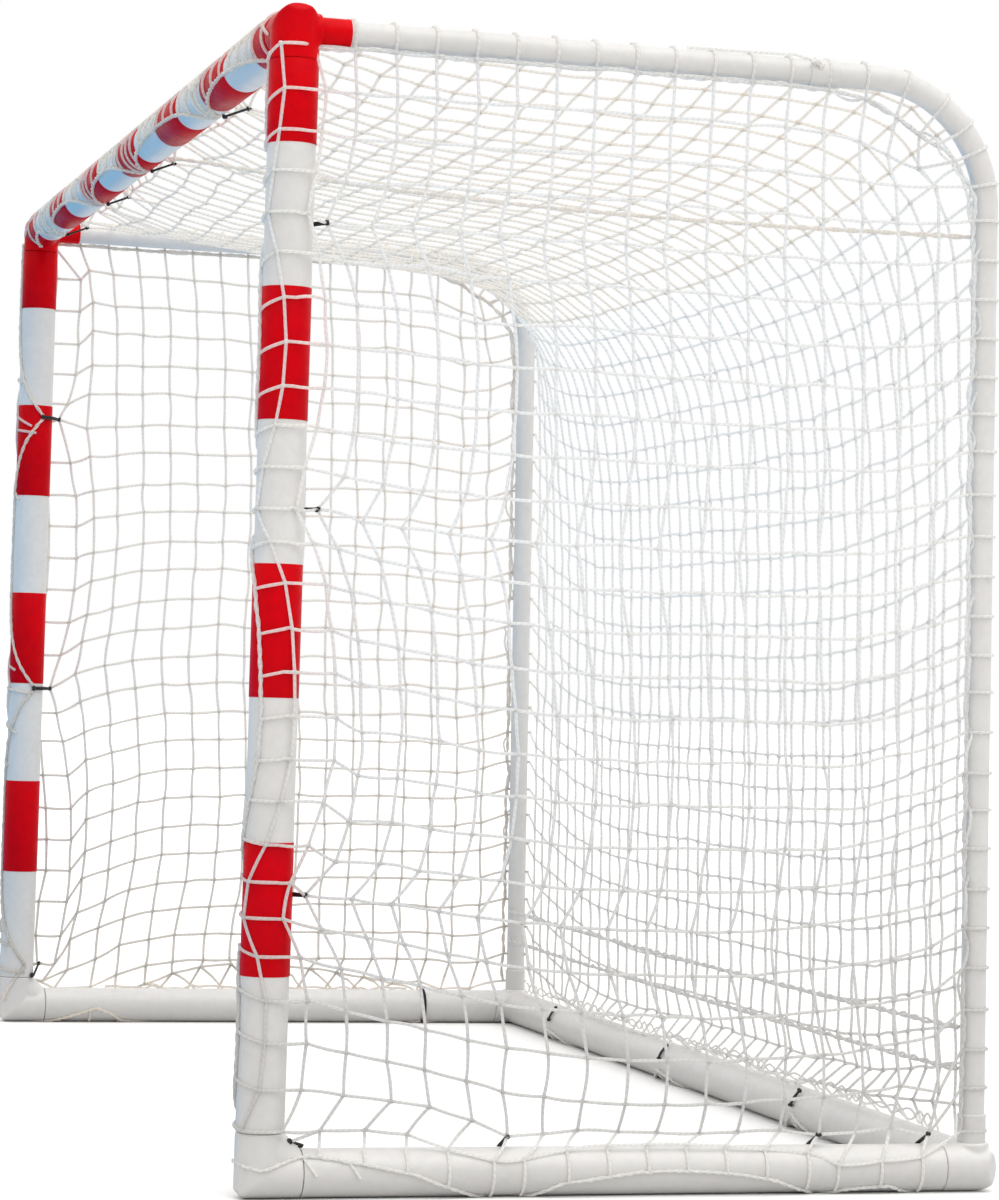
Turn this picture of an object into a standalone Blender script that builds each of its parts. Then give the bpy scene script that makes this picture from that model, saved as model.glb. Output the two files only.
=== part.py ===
"""Plug-together handball goal: plastic tube frame, corner fittings, bands, net and elastic ties."""

import math

import bmesh
import bpy
import numpy as np
from mathutils import Matrix, Vector

# Driving dimensions, in metres
INNER_WIDTH = 2.40
OUTER_HEIGHT = 1.70
BASE_DEPTH = 1.094          # front post axis to rear foot axis
FRAME_R = 0.035             # thick tube, outside radius
FRAME_WALL = 0.0025
BOW_R = 0.019               # thin tube, outside radius
BOW_WALL = 0.002
REAR_LEAN = 0.022           # how far the top of a rear bow leans to the front
BOW_BEND = 0.185            # centreline radius of the bow's bend
FIT = 0.0003                # clearance between parts that plug or touch
FRAME_SIDES = 20
BOW_SIDES = 16
BOW_STEPS = 10              # flats round the bow's bend
SMOOTH_ANGLE = math.radians(35)

# Fittings
TOP_LEG = 0.045             # corner axis to the end of a top fitting's leg
FOOT_LEG = 0.059
REAR_LEG = 0.052
SPIGOT = 0.060              # how far a fitting reaches into a tube
SPIGOT_BORE = 0.0275
CORNER_CHAMFER = 0.012
GUSSET_R = 0.030
GUSSET_REACH = 0.050
GUSSET_LENGTH = 0.0356
SOCKET_START = 0.010        # corner axis to the bottom of the socket for a thin tube

# Collars and coupling sleeves on the thin tubes
COLLAR_WALL = 0.0017
COLLAR_START = 0.020        # measured from the fitting's axis
COLLAR_END = 0.080
TUBE_START = 0.024
COUPLING_Y = 0.254
COUPLING_LENGTH = 0.045

# Red bands
BAND_LENGTH = 0.190
BAND_GAP = 0.205
BAND_FILM = 0.0004
TOP_BAND_LOW = 1.500        # lower end of the red at the top of a post
POST_BANDS = 3              # below the one at the top
CROSSBAR_BANDS = 5          # between the two at the ends

# Net
NET_CLEAR = 0.0030          # from the frame tube's surface to the net
NET_CORD = 0.005
NET_SAG = 0.040             # how far the roof hangs down between the bows
SAG_RUN = 0.25              # run behind the crossbar in which the sag grows to its full depth
FOLD_STEPS = 8              # flats round the net's fold over the bows
GAPS_WIDE = 11
GAPS_DEEP = 5
GAPS_HIGH = 8

# Elastic ties
TIE_CORD_R = 0.0021
TIE_CLEAR = 0.0026
TIE_SIDES = 5
TIE_STEPS = 7               # flats along the turn round the tube, and round the eye
TIE_EYE_R = 0.0065
TIE_EYE_LIFT = 0.6          # how steeply the eye stands off the tube
TIE_EYE_START = math.radians(25)
TIE_EYE_SWEEP = math.radians(300)

# Places of the ties along each tube, in metres
CROSSBAR_TIES = (0.65, 0.0, -0.47, -0.97)
POST_TIES = {"right": (1.39, 0.98, 0.43), "left": (1.27, 0.70, 0.12)}
GROUND_TIES = {"right": (-0.465, -0.19, 0.29, 0.465), "left": (-0.05, 0.33)}
REAR_TIES = (-0.85, -0.13, 0.57)

# First and last end of a tie, in turns round its tube. The right side's are given
CROSSBAR_TIE_TURNS = (-0.16, 0.21)
POST_TIE_TURNS = (0.26, -0.13)
GROUND_TIE_TURNS = (-0.14, 0.18)
REAR_TIE_TURNS = (0.14, -0.18)

# Values that follow. The net behind reaches further than the bands in front
HALF_SPAN = INNER_WIDTH / 2 + FRAME_R
CENTRING = (NET_CLEAR + NET_CORD - FIT - BAND_FILM) / 2
FRONT_Y = -BASE_DEPTH / 2 - CENTRING
REAR_Y = BASE_DEPTH / 2 - CENTRING
LOW_Z = FRAME_R
HIGH_Z = OUTER_HEIGHT - FRAME_R
SIDES = {"right": 1, "left": -1}

X = Vector((1, 0, 0))
Y = Vector((0, 1, 0))
Z = Vector((0, 0, 1))


def clear_scene():
    for old in list(bpy.data.objects):
        bpy.data.objects.remove(old, do_unlink=True)


def plastic(name, colour, roughness):
    """Principled material in one colour."""
    material = bpy.data.materials.new(name)
    material.use_nodes = True
    shader = material.node_tree.nodes["Principled BSDF"]
    shader.inputs["Base Color"].default_value = (*colour, 1.0)
    shader.inputs["Roughness"].default_value = roughness
    shader.inputs["Metallic"].default_value = 0.0
    return material


def add_object(name, verts, faces, material):
    """Make an object from points and faces, with its normals pointing out."""
    mesh = bpy.data.meshes.new(name)
    mesh.from_pydata([tuple(v) for v in verts], [], faces)
    work = bmesh.new()
    work.from_mesh(mesh)
    bmesh.ops.recalc_face_normals(work, faces=work.faces)
    work.to_mesh(mesh)
    work.free()
    mesh.shade_smooth()
    mesh.set_sharp_from_angle(angle=SMOOTH_ANGLE)
    mesh.materials.append(material)
    thing = bpy.data.objects.new(name, mesh)
    bpy.context.scene.collection.objects.link(thing)
    return thing


def ring(centre, across, up, radius, sides):
    """Polygon whose flats lie at the radius, with one flat square to -up."""
    corner_radius = radius / math.cos(math.pi / sides)
    points = []
    for k in range(sides):
        angle = 2 * math.pi * (k + 0.5) / sides - math.pi / 2
        points.append(centre + corner_radius * (math.cos(angle) * across + math.sin(angle) * up))
    return points


def skin_rings(rings, closed):
    """Join rings of equal count. Closed joins the last to the first, else both ends are capped."""
    sides = len(rings[0])
    verts = [point for one in rings for point in one]
    faces = []
    spans = len(rings) if closed else len(rings) - 1
    for row in range(spans):
        low = row * sides
        high = ((row + 1) % len(rings)) * sides
        for k in range(sides):
            after = (k + 1) % sides
            faces.append((low + k, low + after, high + after, high + k))
    if not closed:
        faces.append(tuple(range(sides)))
        faces.append(tuple(range((len(rings) - 1) * sides, len(rings) * sides)))
    return verts, faces


def hollow_tube(name, start, end, across, up, radius, wall, sides, material):
    """Straight tube, open at both ends."""
    rings = [
        ring(start, across, up, radius, sides),
        ring(end, across, up, radius, sides),
        ring(end, across, up, radius - wall, sides),
        ring(start, across, up, radius - wall, sides),
    ]
    return add_object(name, *skin_rings(rings, closed=True), material)


def solid_bar(name, start, end, across, up, radius, sides, material):
    rings = [ring(start, across, up, radius, sides), ring(end, across, up, radius, sides)]
    return add_object(name, *skin_rings(rings, closed=False), material)


def apply_boolean(target, cutter, operation):
    """Cut or join with the EXACT solver, then drop the cutter."""
    modifier = target.modifiers.new(operation, "BOOLEAN")
    modifier.operation = operation
    modifier.solver = "EXACT"
    modifier.object = cutter
    graph = bpy.context.evaluated_depsgraph_get()
    result = bpy.data.meshes.new_from_object(target.evaluated_get(graph))
    target.modifiers.clear()
    target.data = result
    bpy.data.objects.remove(cutter, do_unlink=True)


def mitre_ring(corner, leg_a, leg_b, normal, radius, flip_up):
    """Ring in the mitre plane of two legs. It has the corners of both legs' own polygons."""
    points = []
    corner_radius = radius / math.cos(math.pi / FRAME_SIDES)
    for k in range(FRAME_SIDES):
        angle = 2 * math.pi * (k + 0.5) / FRAME_SIDES - math.pi / 2
        if flip_up:
            inward = corner_radius * math.cos(angle)
            aside = corner_radius * math.sin(angle)
        else:
            inward = corner_radius * math.sin(angle)
            aside = corner_radius * math.cos(angle)
        points.append(corner + inward * (leg_a + leg_b) + aside * normal)
    return points


def leg_ring(corner, along, inward, normal, distance, radius, flip_up):
    """Ring on one leg, with its corners in step with those of mitre_ring."""
    centre = corner + distance * along
    if flip_up:
        return ring(centre, inward, normal, radius, FRAME_SIDES)
    return ring(centre, normal, inward, radius, FRAME_SIDES)


def elbow_rings(corner, leg_a, leg_b, reach, radius, spigot_radius, flip_up):
    """Rings of a mitred elbow. With a spigot radius, each leg ends in a spigot."""
    normal = leg_a.cross(leg_b)
    rings = []
    end = reach + SPIGOT
    if spigot_radius:
        rings.append(leg_ring(corner, leg_a, leg_b, normal, end, spigot_radius, flip_up))
        rings.append(leg_ring(corner, leg_a, leg_b, normal, reach, spigot_radius, flip_up))
        rings.append(leg_ring(corner, leg_a, leg_b, normal, reach, radius, flip_up))
    else:
        rings.append(leg_ring(corner, leg_a, leg_b, normal, end, radius, flip_up))
    rings.append(mitre_ring(corner, leg_a, leg_b, normal, radius, flip_up))
    if spigot_radius:
        rings.append(leg_ring(corner, leg_b, leg_a, normal, reach, radius, flip_up))
        rings.append(leg_ring(corner, leg_b, leg_a, normal, reach, spigot_radius, flip_up))
        rings.append(leg_ring(corner, leg_b, leg_a, normal, end, spigot_radius, flip_up))
    else:
        rings.append(leg_ring(corner, leg_b, leg_a, normal, end, radius, flip_up))
    return rings


def chamfer_block(corner, leg_a, leg_b, material):
    """Block that takes the point off the elbow's outer corner."""
    outward = -(leg_a + leg_b).normalized()
    normal = leg_a.cross(leg_b).normalized()
    side = outward.cross(normal)
    depth = FRAME_R * math.sqrt(2) - CORNER_CHAMFER / math.sqrt(2)
    near = corner + depth * outward
    size = 2 * FRAME_R
    verts = []
    for step in (0.0, size):
        for a, b in ((-1, -1), (1, -1), (1, 1), (-1, 1)):
            verts.append(near + step * outward + size * (a * side + b * normal))
    faces = [(0, 1, 2, 3), (4, 5, 6, 7)]
    for k in range(4):
        after = (k + 1) % 4
        faces.append((k, after, 4 + after, 4 + k))
    return add_object("corner_cutter", verts, faces, material)


def add_gusset(body, corner, leg_a, leg_b, material):
    """Join a short thick brace across the inside of the elbow."""
    direction = (leg_b - leg_a).normalized()
    middle = corner + GUSSET_REACH / 2 * (leg_a + leg_b)
    half = GUSSET_LENGTH / 2
    normal = leg_a.cross(leg_b).normalized()
    inward = (leg_a + leg_b).normalized()
    start = middle - half * direction
    end = middle + half * direction
    brace = solid_bar("brace", start, end, normal, inward, GUSSET_R, BOW_SIDES, material)
    apply_boolean(body, brace, "UNION")


def cut_socket(body, corner, along, material):
    """Drill the socket that a thin tube's collar sits in."""
    up = along.cross(X).normalized()
    radius = BOW_R + FIT + COLLAR_WALL + FIT
    start = corner + SOCKET_START * along
    end = corner + 2 * FRAME_R * along
    drill = solid_bar("drill", start, end, X, up, radius, BOW_SIDES, material)
    apply_boolean(body, drill, "DIFFERENCE")


def fitting(name, corner, legs, reach, material, gusset=False, socket_axis=None, flip_up=False):
    """Hollow elbow with a spigot on each leg, a chamfered point, and what else it carries."""
    leg_a, leg_b = legs
    outer = elbow_rings(corner, leg_a, leg_b, reach, FRAME_R, FRAME_R - FRAME_WALL - FIT, flip_up)
    body = add_object(name, *skin_rings(outer, closed=False), material)
    if gusset:
        add_gusset(body, corner, leg_a, leg_b, material)
    apply_boolean(body, chamfer_block(corner, leg_a, leg_b, material), "DIFFERENCE")
    inner = elbow_rings(corner, leg_a, leg_b, reach + FIT, SPIGOT_BORE, None, flip_up)
    bore = add_object("bore", *skin_rings(inner, closed=False), material)
    apply_boolean(body, bore, "DIFFERENCE")
    if socket_axis is not None:
        cut_socket(body, corner, socket_axis, material)
    body.data.name = name
    body.data.shade_smooth()
    body.data.set_sharp_from_angle(angle=SMOOTH_ANGLE)
    return body


def fillet_path(start, corner, end, radius, steps):
    """Straight, arc, straight through three points that lie in one plane."""
    to_start = (start - corner).normalized()
    to_end = (end - corner).normalized()
    half_angle = to_start.angle(to_end) / 2
    tangent = radius / math.tan(half_angle)
    bisector = (to_start + to_end).normalized()
    centre = corner + radius / math.sin(half_angle) * bisector
    first = corner + tangent * to_start - centre
    axis = to_end.cross(to_start)
    sweep = math.pi - 2 * half_angle
    points = [start]
    for k in range(steps + 1):
        points.append(centre + Matrix.Rotation(sweep * k / steps, 3, axis) @ first)
    points.append(end)
    return points


def path_normals(points, side_axis):
    """For a path in one plane: a unit vector in that plane, square to the path, at each point."""
    normals = []
    last = len(points) - 1
    for k in range(len(points)):
        before = points[max(k - 1, 0)]
        after = points[min(k + 1, last)]
        if 0 < k < last:
            along = (points[k] - before).normalized() + (after - points[k]).normalized()
        else:
            along = after - before
        normals.append(along.normalized().cross(side_axis).normalized())
    return normals


def bent_tube(name, points, side_axis, radius, wall, sides, material):
    """Hollow tube along a path that lies square to side_axis."""
    normals = path_normals(points, side_axis)
    outer = [ring(p, side_axis, n, radius, sides) for p, n in zip(points, normals)]
    inner = [ring(p, side_axis, n, radius - wall, sides) for p, n in zip(points, normals)]
    return add_object(name, *skin_rings(outer + inner[::-1], closed=True), material)


def bow_corner(side):
    """Where the lines of the rear upright and the top tube would cross."""
    return Vector((side * HALF_SPAN, REAR_Y - REAR_LEAN, HIGH_Z))


def rear_corner(side):
    return Vector((side * HALF_SPAN, REAR_Y, LOW_Z))


def upright_axis(side):
    return (bow_corner(side) - rear_corner(side)).normalized()


def thick_tube(name, start, end, across, up, material):
    return hollow_tube(name, start, end, across, up, FRAME_R, FRAME_WALL, FRAME_SIDES, material)


def make_frame_tubes(white):
    """Posts, crossbar and ground bars."""
    for label, side in SIDES.items():
        x = side * HALF_SPAN
        foot = Vector((x, FRONT_Y, LOW_Z + FOOT_LEG + FIT))
        head = Vector((x, FRONT_Y, HIGH_Z - TOP_LEG - FIT))
        thick_tube(f"{label}_front_post", foot, head, X, Y, white)
        front = Vector((x, FRONT_Y + FOOT_LEG + FIT, LOW_Z))
        rear = Vector((x, REAR_Y - REAR_LEG - FIT, LOW_Z))
        thick_tube(f"{label}_ground_bar", front, rear, X, Z, white)
    reach = HALF_SPAN - TOP_LEG - FIT
    left_end = Vector((-reach, FRONT_Y, HIGH_Z))
    right_end = Vector((reach, FRONT_Y, HIGH_Z))
    thick_tube("crossbar", left_end, right_end, Y, Z, white)
    reach = HALF_SPAN - REAR_LEG - FIT
    left_end = Vector((-reach, REAR_Y, LOW_Z))
    right_end = Vector((reach, REAR_Y, LOW_Z))
    thick_tube("rear_ground_bar", left_end, right_end, Y, Z, white)


def make_fittings(red, white):
    """Six corner fittings and the four collars that the thin tubes plug into."""
    for label, side in SIDES.items():
        inward = -side * X
        x = side * HALF_SPAN
        head = Vector((x, FRONT_Y, HIGH_Z))
        fitting(f"{label}_top_corner", head, (inward, -Z), TOP_LEG, red, socket_axis=Y)
        foot = Vector((x, FRONT_Y, LOW_Z))
        fitting(f"{label}_front_foot", foot, (Y, Z), FOOT_LEG, white, gusset=True)
        axis = upright_axis(side)
        heel = rear_corner(side)
        legs = (inward, -Y)
        fitting(f"{label}_rear_foot", heel, legs, REAR_LEG, white, socket_axis=axis, flip_up=True)
        radius = BOW_R + FIT + COLLAR_WALL
        for name, base, along, material in (
            (f"{label}_top_collar", head, Y, red),
            (f"{label}_rear_collar", heel, axis, white),
        ):
            up = along.cross(X).normalized()
            start = base + COLLAR_START * along
            end = base + COLLAR_END * along
            hollow_tube(name, start, end, X, up, radius, COLLAR_WALL, BOW_SIDES, material)


def make_thin_tubes(white):
    """Top tubes, rear bows and the sleeves that join them."""
    for label, side in SIDES.items():
        head = Vector((side * HALF_SPAN, FRONT_Y, HIGH_Z))
        joint = Vector((side * HALF_SPAN, COUPLING_Y, HIGH_Z))
        start = head + TUBE_START * Y
        hollow_tube(f"{label}_top_tube", start, joint, X, Z, BOW_R, BOW_WALL, BOW_SIDES, white)
        low_end = rear_corner(side) + TUBE_START * upright_axis(side)
        points = fillet_path(low_end, bow_corner(side), joint + FIT * Y, BOW_BEND, BOW_STEPS)
        bent_tube(f"{label}_rear_bow", points, X, BOW_R, BOW_WALL, BOW_SIDES, white)
        half = COUPLING_LENGTH / 2
        radius = BOW_R + FIT + COLLAR_WALL
        start = joint - half * Y
        end = joint + half * Y
        hollow_tube(f"{label}_coupling", start, end, X, Z, radius, COLLAR_WALL, BOW_SIDES, white)


def band(name, start, end, across, up, material):
    """One film band round a thick tube."""
    radius = FRAME_R + FIT + BAND_FILM
    return hollow_tube(name, start, end, across, up, radius, BAND_FILM, FRAME_SIDES, material)


def make_bands(red):
    """Bands down each post and along the crossbar, with one at every top corner's side."""
    pitch = BAND_LENGTH + BAND_GAP
    for label, side in SIDES.items():
        x = side * HALF_SPAN
        spans = [(HIGH_Z - TOP_LEG - FIT, TOP_BAND_LOW)]
        for k in range(POST_BANDS):
            upper = TOP_BAND_LOW - BAND_GAP - k * pitch
            spans.append((upper, upper - BAND_LENGTH))
        for number, (upper, lower) in enumerate(spans, 1):
            high = Vector((x, FRONT_Y, upper))
            low = Vector((x, FRONT_Y, lower))
            band(f"{label}_post_band_{number}", low, high, X, Y, red)
    end_x = HALF_SPAN - TOP_LEG - FIT
    inner_x = CROSSBAR_BANDS / 2 * pitch + BAND_GAP / 2
    spans = [(-end_x, -inner_x)]
    for k in range(CROSSBAR_BANDS):
        middle = (k - (CROSSBAR_BANDS - 1) / 2) * pitch
        spans.append((middle - BAND_LENGTH / 2, middle + BAND_LENGTH / 2))
    spans.append((inner_x, end_x))
    for number, (x_low, x_high) in enumerate(spans, 1):
        start = Vector((x_low, FRONT_Y, HIGH_Z))
        end = Vector((x_high, FRONT_Y, HIGH_Z))
        band(f"crossbar_band_{number}", start, end, Y, Z, red)


def net_lines(count, length):
    """Both edges of each cord across a panel, as shares of the panel's length."""
    share = NET_CORD / length
    edges = []
    for k in range(count + 1):
        left = k / count * (1 - share)
        edges.extend((left, left + share))
    return edges


def net_panel(name, surface, columns, rows, width, height, material):
    """Flat or curved net: a plate on a surface with columns times rows gaps."""
    us = net_lines(columns, width)
    vs = net_lines(rows, height)
    nu = len(us)
    nv = len(vs)
    grid = np.array([[surface(u, v) for u in us] for v in vs])
    along_u = np.gradient(grid, axis=1)
    along_v = np.gradient(grid, axis=0)
    normal = np.cross(along_u, along_v)
    normal /= np.linalg.norm(normal, axis=2, keepdims=True)
    front = grid + normal * NET_CORD / 2
    back = grid - normal * NET_CORD / 2
    verts = [*front.reshape(-1, 3), *back.reshape(-1, 3)]
    behind = nu * nv

    def is_cord(i, j):
        inside = 0 <= i < nu - 1 and 0 <= j < nv - 1
        return inside and not (i % 2 == 1 and j % 2 == 1)

    faces = []
    for j in range(nv - 1):
        for i in range(nu - 1):
            if not is_cord(i, j):
                continue
            corners = [j * nu + i, j * nu + i + 1, (j + 1) * nu + i + 1, (j + 1) * nu + i]
            faces.append(tuple(corners))
            faces.append(tuple(c + behind for c in reversed(corners)))
            beyond = [(i, j - 1), (i + 1, j), (i, j + 1), (i - 1, j)]
            for k, cell in enumerate(beyond):
                if is_cord(*cell):
                    continue
                a = corners[k]
                b = corners[(k + 1) % 4]
                faces.append((a, b, b + behind, a + behind))
    return add_object(name, verts, faces, material)


def bow_path():
    """Centreline of a bow in the Y-Z plane, from the rear ground bar to the crossbar."""
    joint = Vector((0, FRONT_Y, HIGH_Z))
    return fillet_path(rear_corner(0), bow_corner(0), joint, BOW_BEND, FOLD_STEPS)


def net_profile():
    """Net's run in the Y-Z plane from crossbar to rear ground bar, and the fold's place on it."""
    off = NET_CLEAR + NET_CORD / 2
    foot = Vector((0, REAR_Y + FRAME_R + off, LOW_Z))
    path = bow_path()[1:-1]
    normals = path_normals(path, X)
    arc = [p + (BOW_R + off) * n for p, n in zip(path, normals)][::-1]
    points = [Vector((0, FRONT_Y, OUTER_HEIGHT + off)), *arc, foot]
    runs = [0.0]
    for before, after in zip(points, points[1:]):
        runs.append(runs[-1] + (after - before).length)
    fold = runs[1 + FOLD_STEPS // 2]
    return np.array(points), np.array(runs), fold


def bow_reach(z):
    """Y of the bow's centreline at a height."""
    path = bow_path()[:-1]
    return float(np.interp(z, [p.z for p in path], [p.y for p in path]))


def make_nets(cord):
    """Roof, back and side panels, laid on the outside of the frame."""
    points, runs, fold = net_profile()
    off = NET_CLEAR + NET_CORD / 2
    total = runs[-1]
    half_width = HALF_SPAN - BOW_R - COLLAR_WALL - off

    def slack(u, run):
        belly = 1 - (2 * u - 1) ** 2
        rise = min(run / SAG_RUN, 1.0)
        rise = rise * rise * (3 - 2 * rise)
        fall = min((total - run) / (total - fold), 1.0)
        return NET_SAG * belly * rise * fall

    def sheet(u, run):
        y = np.interp(run, runs, points[:, 1])
        z = np.interp(run, runs, points[:, 2])
        return half_width * (2 * u - 1), y, z - slack(u, run)

    roof_end = fold - NET_CORD / 2
    back_start = fold + NET_CORD / 2

    def roof(u, v):
        return sheet(u, v * roof_end)

    def back(u, v):
        return sheet(u, total + v * (back_start - total))

    def side_panel(side):
        def surface(u, v):
            z = LOW_Z + v * (HIGH_Z - LOW_Z)
            y = FRONT_Y + u * (bow_reach(z) - FRONT_Y)
            stand_off = FRAME_R + off - (FRAME_R - BOW_R) * u * v
            return side * (HALF_SPAN + stand_off), y, z
        return surface

    width = 2 * half_width
    height = HIGH_Z - LOW_Z
    net_panel("roof_net", roof, GAPS_WIDE, GAPS_DEEP, width, roof_end, cord)
    net_panel("back_net", back, GAPS_WIDE, GAPS_HIGH, width, total - back_start, cord)
    for label, side in SIDES.items():
        net_panel(f"{label}_side_net", side_panel(side), GAPS_DEEP, GAPS_HIGH, BASE_DEPTH, height, cord)


def swept_cord(name, points, radius, sides, material):
    """Solid cord along any path, its section carried along without twist."""
    rings = []
    last = len(points) - 1
    up = None
    for k, point in enumerate(points):
        along = (points[min(k + 1, last)] - points[max(k - 1, 0)]).normalized()
        if up is None:
            up = along.orthogonal().normalized()
        up = (up - up.dot(along) * along).normalized()
        rings.append(ring(point, along.cross(up), up, radius, sides))
    return add_object(name, *skin_rings(rings, closed=False), material)


def elastic_tie(name, centre, along, face, turns, material):
    """Elastic cord part of the way round a thick tube, with an eye standing off its last end.

    along is the tube's direction, and turns are counted from face towards along x face.
    """
    aside = along.cross(face)
    radius = FRAME_R + TIE_CLEAR + TIE_CORD_R
    points = []
    for k in range(TIE_STEPS + 1):
        angle = 2 * math.pi * (turns[0] + (turns[1] - turns[0]) * k / TIE_STEPS)
        outward = math.cos(angle) * face + math.sin(angle) * aside
        points.append(centre + radius * outward)
    tangent = (points[-1] - points[-2]).normalized()
    eye_reach = TIE_EYE_R + TIE_CORD_R
    eye_centre = points[-1] + eye_reach * (tangent + TIE_EYE_LIFT * outward)
    towards = (points[-1] - eye_centre).normalized()
    for k in range(TIE_STEPS + 1):
        angle = TIE_EYE_START + TIE_EYE_SWEEP * k / TIE_STEPS
        arm = math.cos(angle) * towards + math.sin(angle) * along
        points.append(eye_centre + TIE_EYE_R * arm)
    return swept_cord(name, points, TIE_CORD_R, TIE_SIDES, material)


def mirrored(turns, side):
    return tuple(side * turn for turn in turns)


def make_ties(rubber):
    """Ties on the crossbar, the posts and the ground bars."""
    for number, x in enumerate(CROSSBAR_TIES, 1):
        centre = Vector((x, FRONT_Y, HIGH_Z))
        elastic_tie(f"crossbar_tie_{number}", centre, X, -Z, CROSSBAR_TIE_TURNS, rubber)
    for label, side in SIDES.items():
        turns = mirrored(POST_TIE_TURNS, side)
        for number, z in enumerate(POST_TIES[label], 1):
            centre = Vector((side * HALF_SPAN, FRONT_Y, z))
            elastic_tie(f"{label}_post_tie_{number}", centre, Z, Y, turns, rubber)
        turns = mirrored(GROUND_TIE_TURNS, side)
        for number, y in enumerate(GROUND_TIES[label], 1):
            centre = Vector((side * HALF_SPAN, y, LOW_Z))
            elastic_tie(f"{label}_ground_tie_{number}", centre, Y, -side * X, turns, rubber)
    for number, x in enumerate(REAR_TIES, 1):
        centre = Vector((x, REAR_Y, LOW_Z))
        elastic_tie(f"rear_tie_{number}", centre, X, -Y, REAR_TIE_TURNS, rubber)


def main():
    clear_scene()
    white = plastic("white_pvc", (0.72, 0.71, 0.70), 0.35)
    red = plastic("red_film", (0.62, 0.002, 0.006), 0.35)
    cord = plastic("white_net_cord", (0.75, 0.74, 0.72), 0.8)
    rubber = plastic("black_elastic", (0.012, 0.012, 0.013), 0.7)
    make_frame_tubes(white)
    make_fittings(red, white)
    make_thin_tubes(white)
    make_bands(red)
    make_nets(cord)
    make_ties(rubber)


main()
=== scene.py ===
# %% [markdown]
# # A small handball goal
# The real goal is a frame of white plastic tube that plugs together at six corner
# fittings. Red film bands make the stripes, two thin bent tubes carry the net at the
# rear, and one knotted net is laid over everything and tied with short elastic cords.
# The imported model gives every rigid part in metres. This script dresses it: smooth
# tubes, moulded fittings, and a net that hangs as real cords do.

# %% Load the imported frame
import math

import bmesh
import bpy
import numpy as np
from mathutils import Matrix, Vector


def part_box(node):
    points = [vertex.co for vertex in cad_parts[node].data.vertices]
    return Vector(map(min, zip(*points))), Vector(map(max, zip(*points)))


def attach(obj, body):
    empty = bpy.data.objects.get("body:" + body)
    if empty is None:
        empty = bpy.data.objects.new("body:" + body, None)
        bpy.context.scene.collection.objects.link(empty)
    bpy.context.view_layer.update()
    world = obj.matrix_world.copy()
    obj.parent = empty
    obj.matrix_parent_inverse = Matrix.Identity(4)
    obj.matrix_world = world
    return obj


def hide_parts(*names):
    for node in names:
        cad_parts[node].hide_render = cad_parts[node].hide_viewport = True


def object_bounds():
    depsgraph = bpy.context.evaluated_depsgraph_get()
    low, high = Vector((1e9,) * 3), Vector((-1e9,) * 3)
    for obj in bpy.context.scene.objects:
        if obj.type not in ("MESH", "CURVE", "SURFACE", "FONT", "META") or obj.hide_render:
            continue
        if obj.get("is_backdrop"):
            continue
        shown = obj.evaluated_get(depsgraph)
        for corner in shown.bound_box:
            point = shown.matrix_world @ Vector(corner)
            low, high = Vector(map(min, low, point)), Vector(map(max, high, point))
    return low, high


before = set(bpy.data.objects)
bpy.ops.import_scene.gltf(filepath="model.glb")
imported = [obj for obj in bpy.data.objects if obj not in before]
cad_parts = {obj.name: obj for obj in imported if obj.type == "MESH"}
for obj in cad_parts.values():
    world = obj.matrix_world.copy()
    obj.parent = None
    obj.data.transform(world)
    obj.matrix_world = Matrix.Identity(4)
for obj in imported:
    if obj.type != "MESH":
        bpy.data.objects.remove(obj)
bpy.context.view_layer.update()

# %% [markdown]
# ## Camera
# The photograph is a telephoto view from beside the right post, a little below half
# height. Eight corners of the frame gave the camera's place, its turn and its focal
# length. The lens is set first, because every later choice is judged through it.

# %% Camera
CAMERA_PLACE = Vector((6.07844, -1.59654, 0.7395))
YAW, PITCH, ROLL = 0.2767, 0.02411, 0.03076      # radians, yaw from -X towards +Y
FOCAL_PIXELS = 3471.4                            # for a frame 1200 pixels high
SENSOR = 36.0

forward = Vector((-math.cos(YAW) * math.cos(PITCH), math.sin(YAW) * math.cos(PITCH), math.sin(PITCH)))
level_right = forward.cross(Vector((0, 0, 1))).normalized()
level_up = level_right.cross(forward)
screen_right = math.cos(ROLL) * level_right + math.sin(ROLL) * level_up
screen_up = -math.sin(ROLL) * level_right + math.cos(ROLL) * level_up

camera = bpy.data.objects.new("camera", bpy.data.cameras.new("camera"))
bpy.context.scene.collection.objects.link(camera)
camera.data.sensor_width = SENSOR
camera.data.lens = FOCAL_PIXELS * SENSOR / 1200
camera.data.clip_end = 100
turn = Matrix((screen_right, screen_up, -forward)).transposed()
camera.matrix_world = Matrix.Translation(CAMERA_PLACE) @ turn.to_4x4()
bpy.context.scene.camera = camera
print("lens:", round(camera.data.lens, 1), "mm")

# %% [markdown]
# ## Sizes
# These are the real sizes that the looks share with the solids: where the tubes' axes
# lie, and how thick they are. The net needs them most, because its cords lie on the
# tubes.

# %% Sizes shared with the solids
post_low, post_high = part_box("right_front_post")
rear_low, rear_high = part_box("rear_ground_bar")
top_low, top_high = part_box("crossbar")
HALF = (post_low.x + post_high.x) / 2            # post axis, sideways
FRONT = (post_low.y + post_high.y) / 2           # post axis, front to rear
REAR = (rear_low.y + rear_high.y) / 2            # rear bar axis
LOW = (rear_low.z + rear_high.z) / 2
HIGH = (top_low.z + top_high.z) / 2
TUBE = 0.035                                     # radius of the thick tube
THIN = 0.019                                     # radius of the thin tube
LEAN = 0.022                                     # top of a rear bow, to the front
BEND = 0.185                                     # radius of a bow's bend
print("axes:", [round(v, 4) for v in (HALF, FRONT, REAR, LOW, HIGH)])

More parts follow.
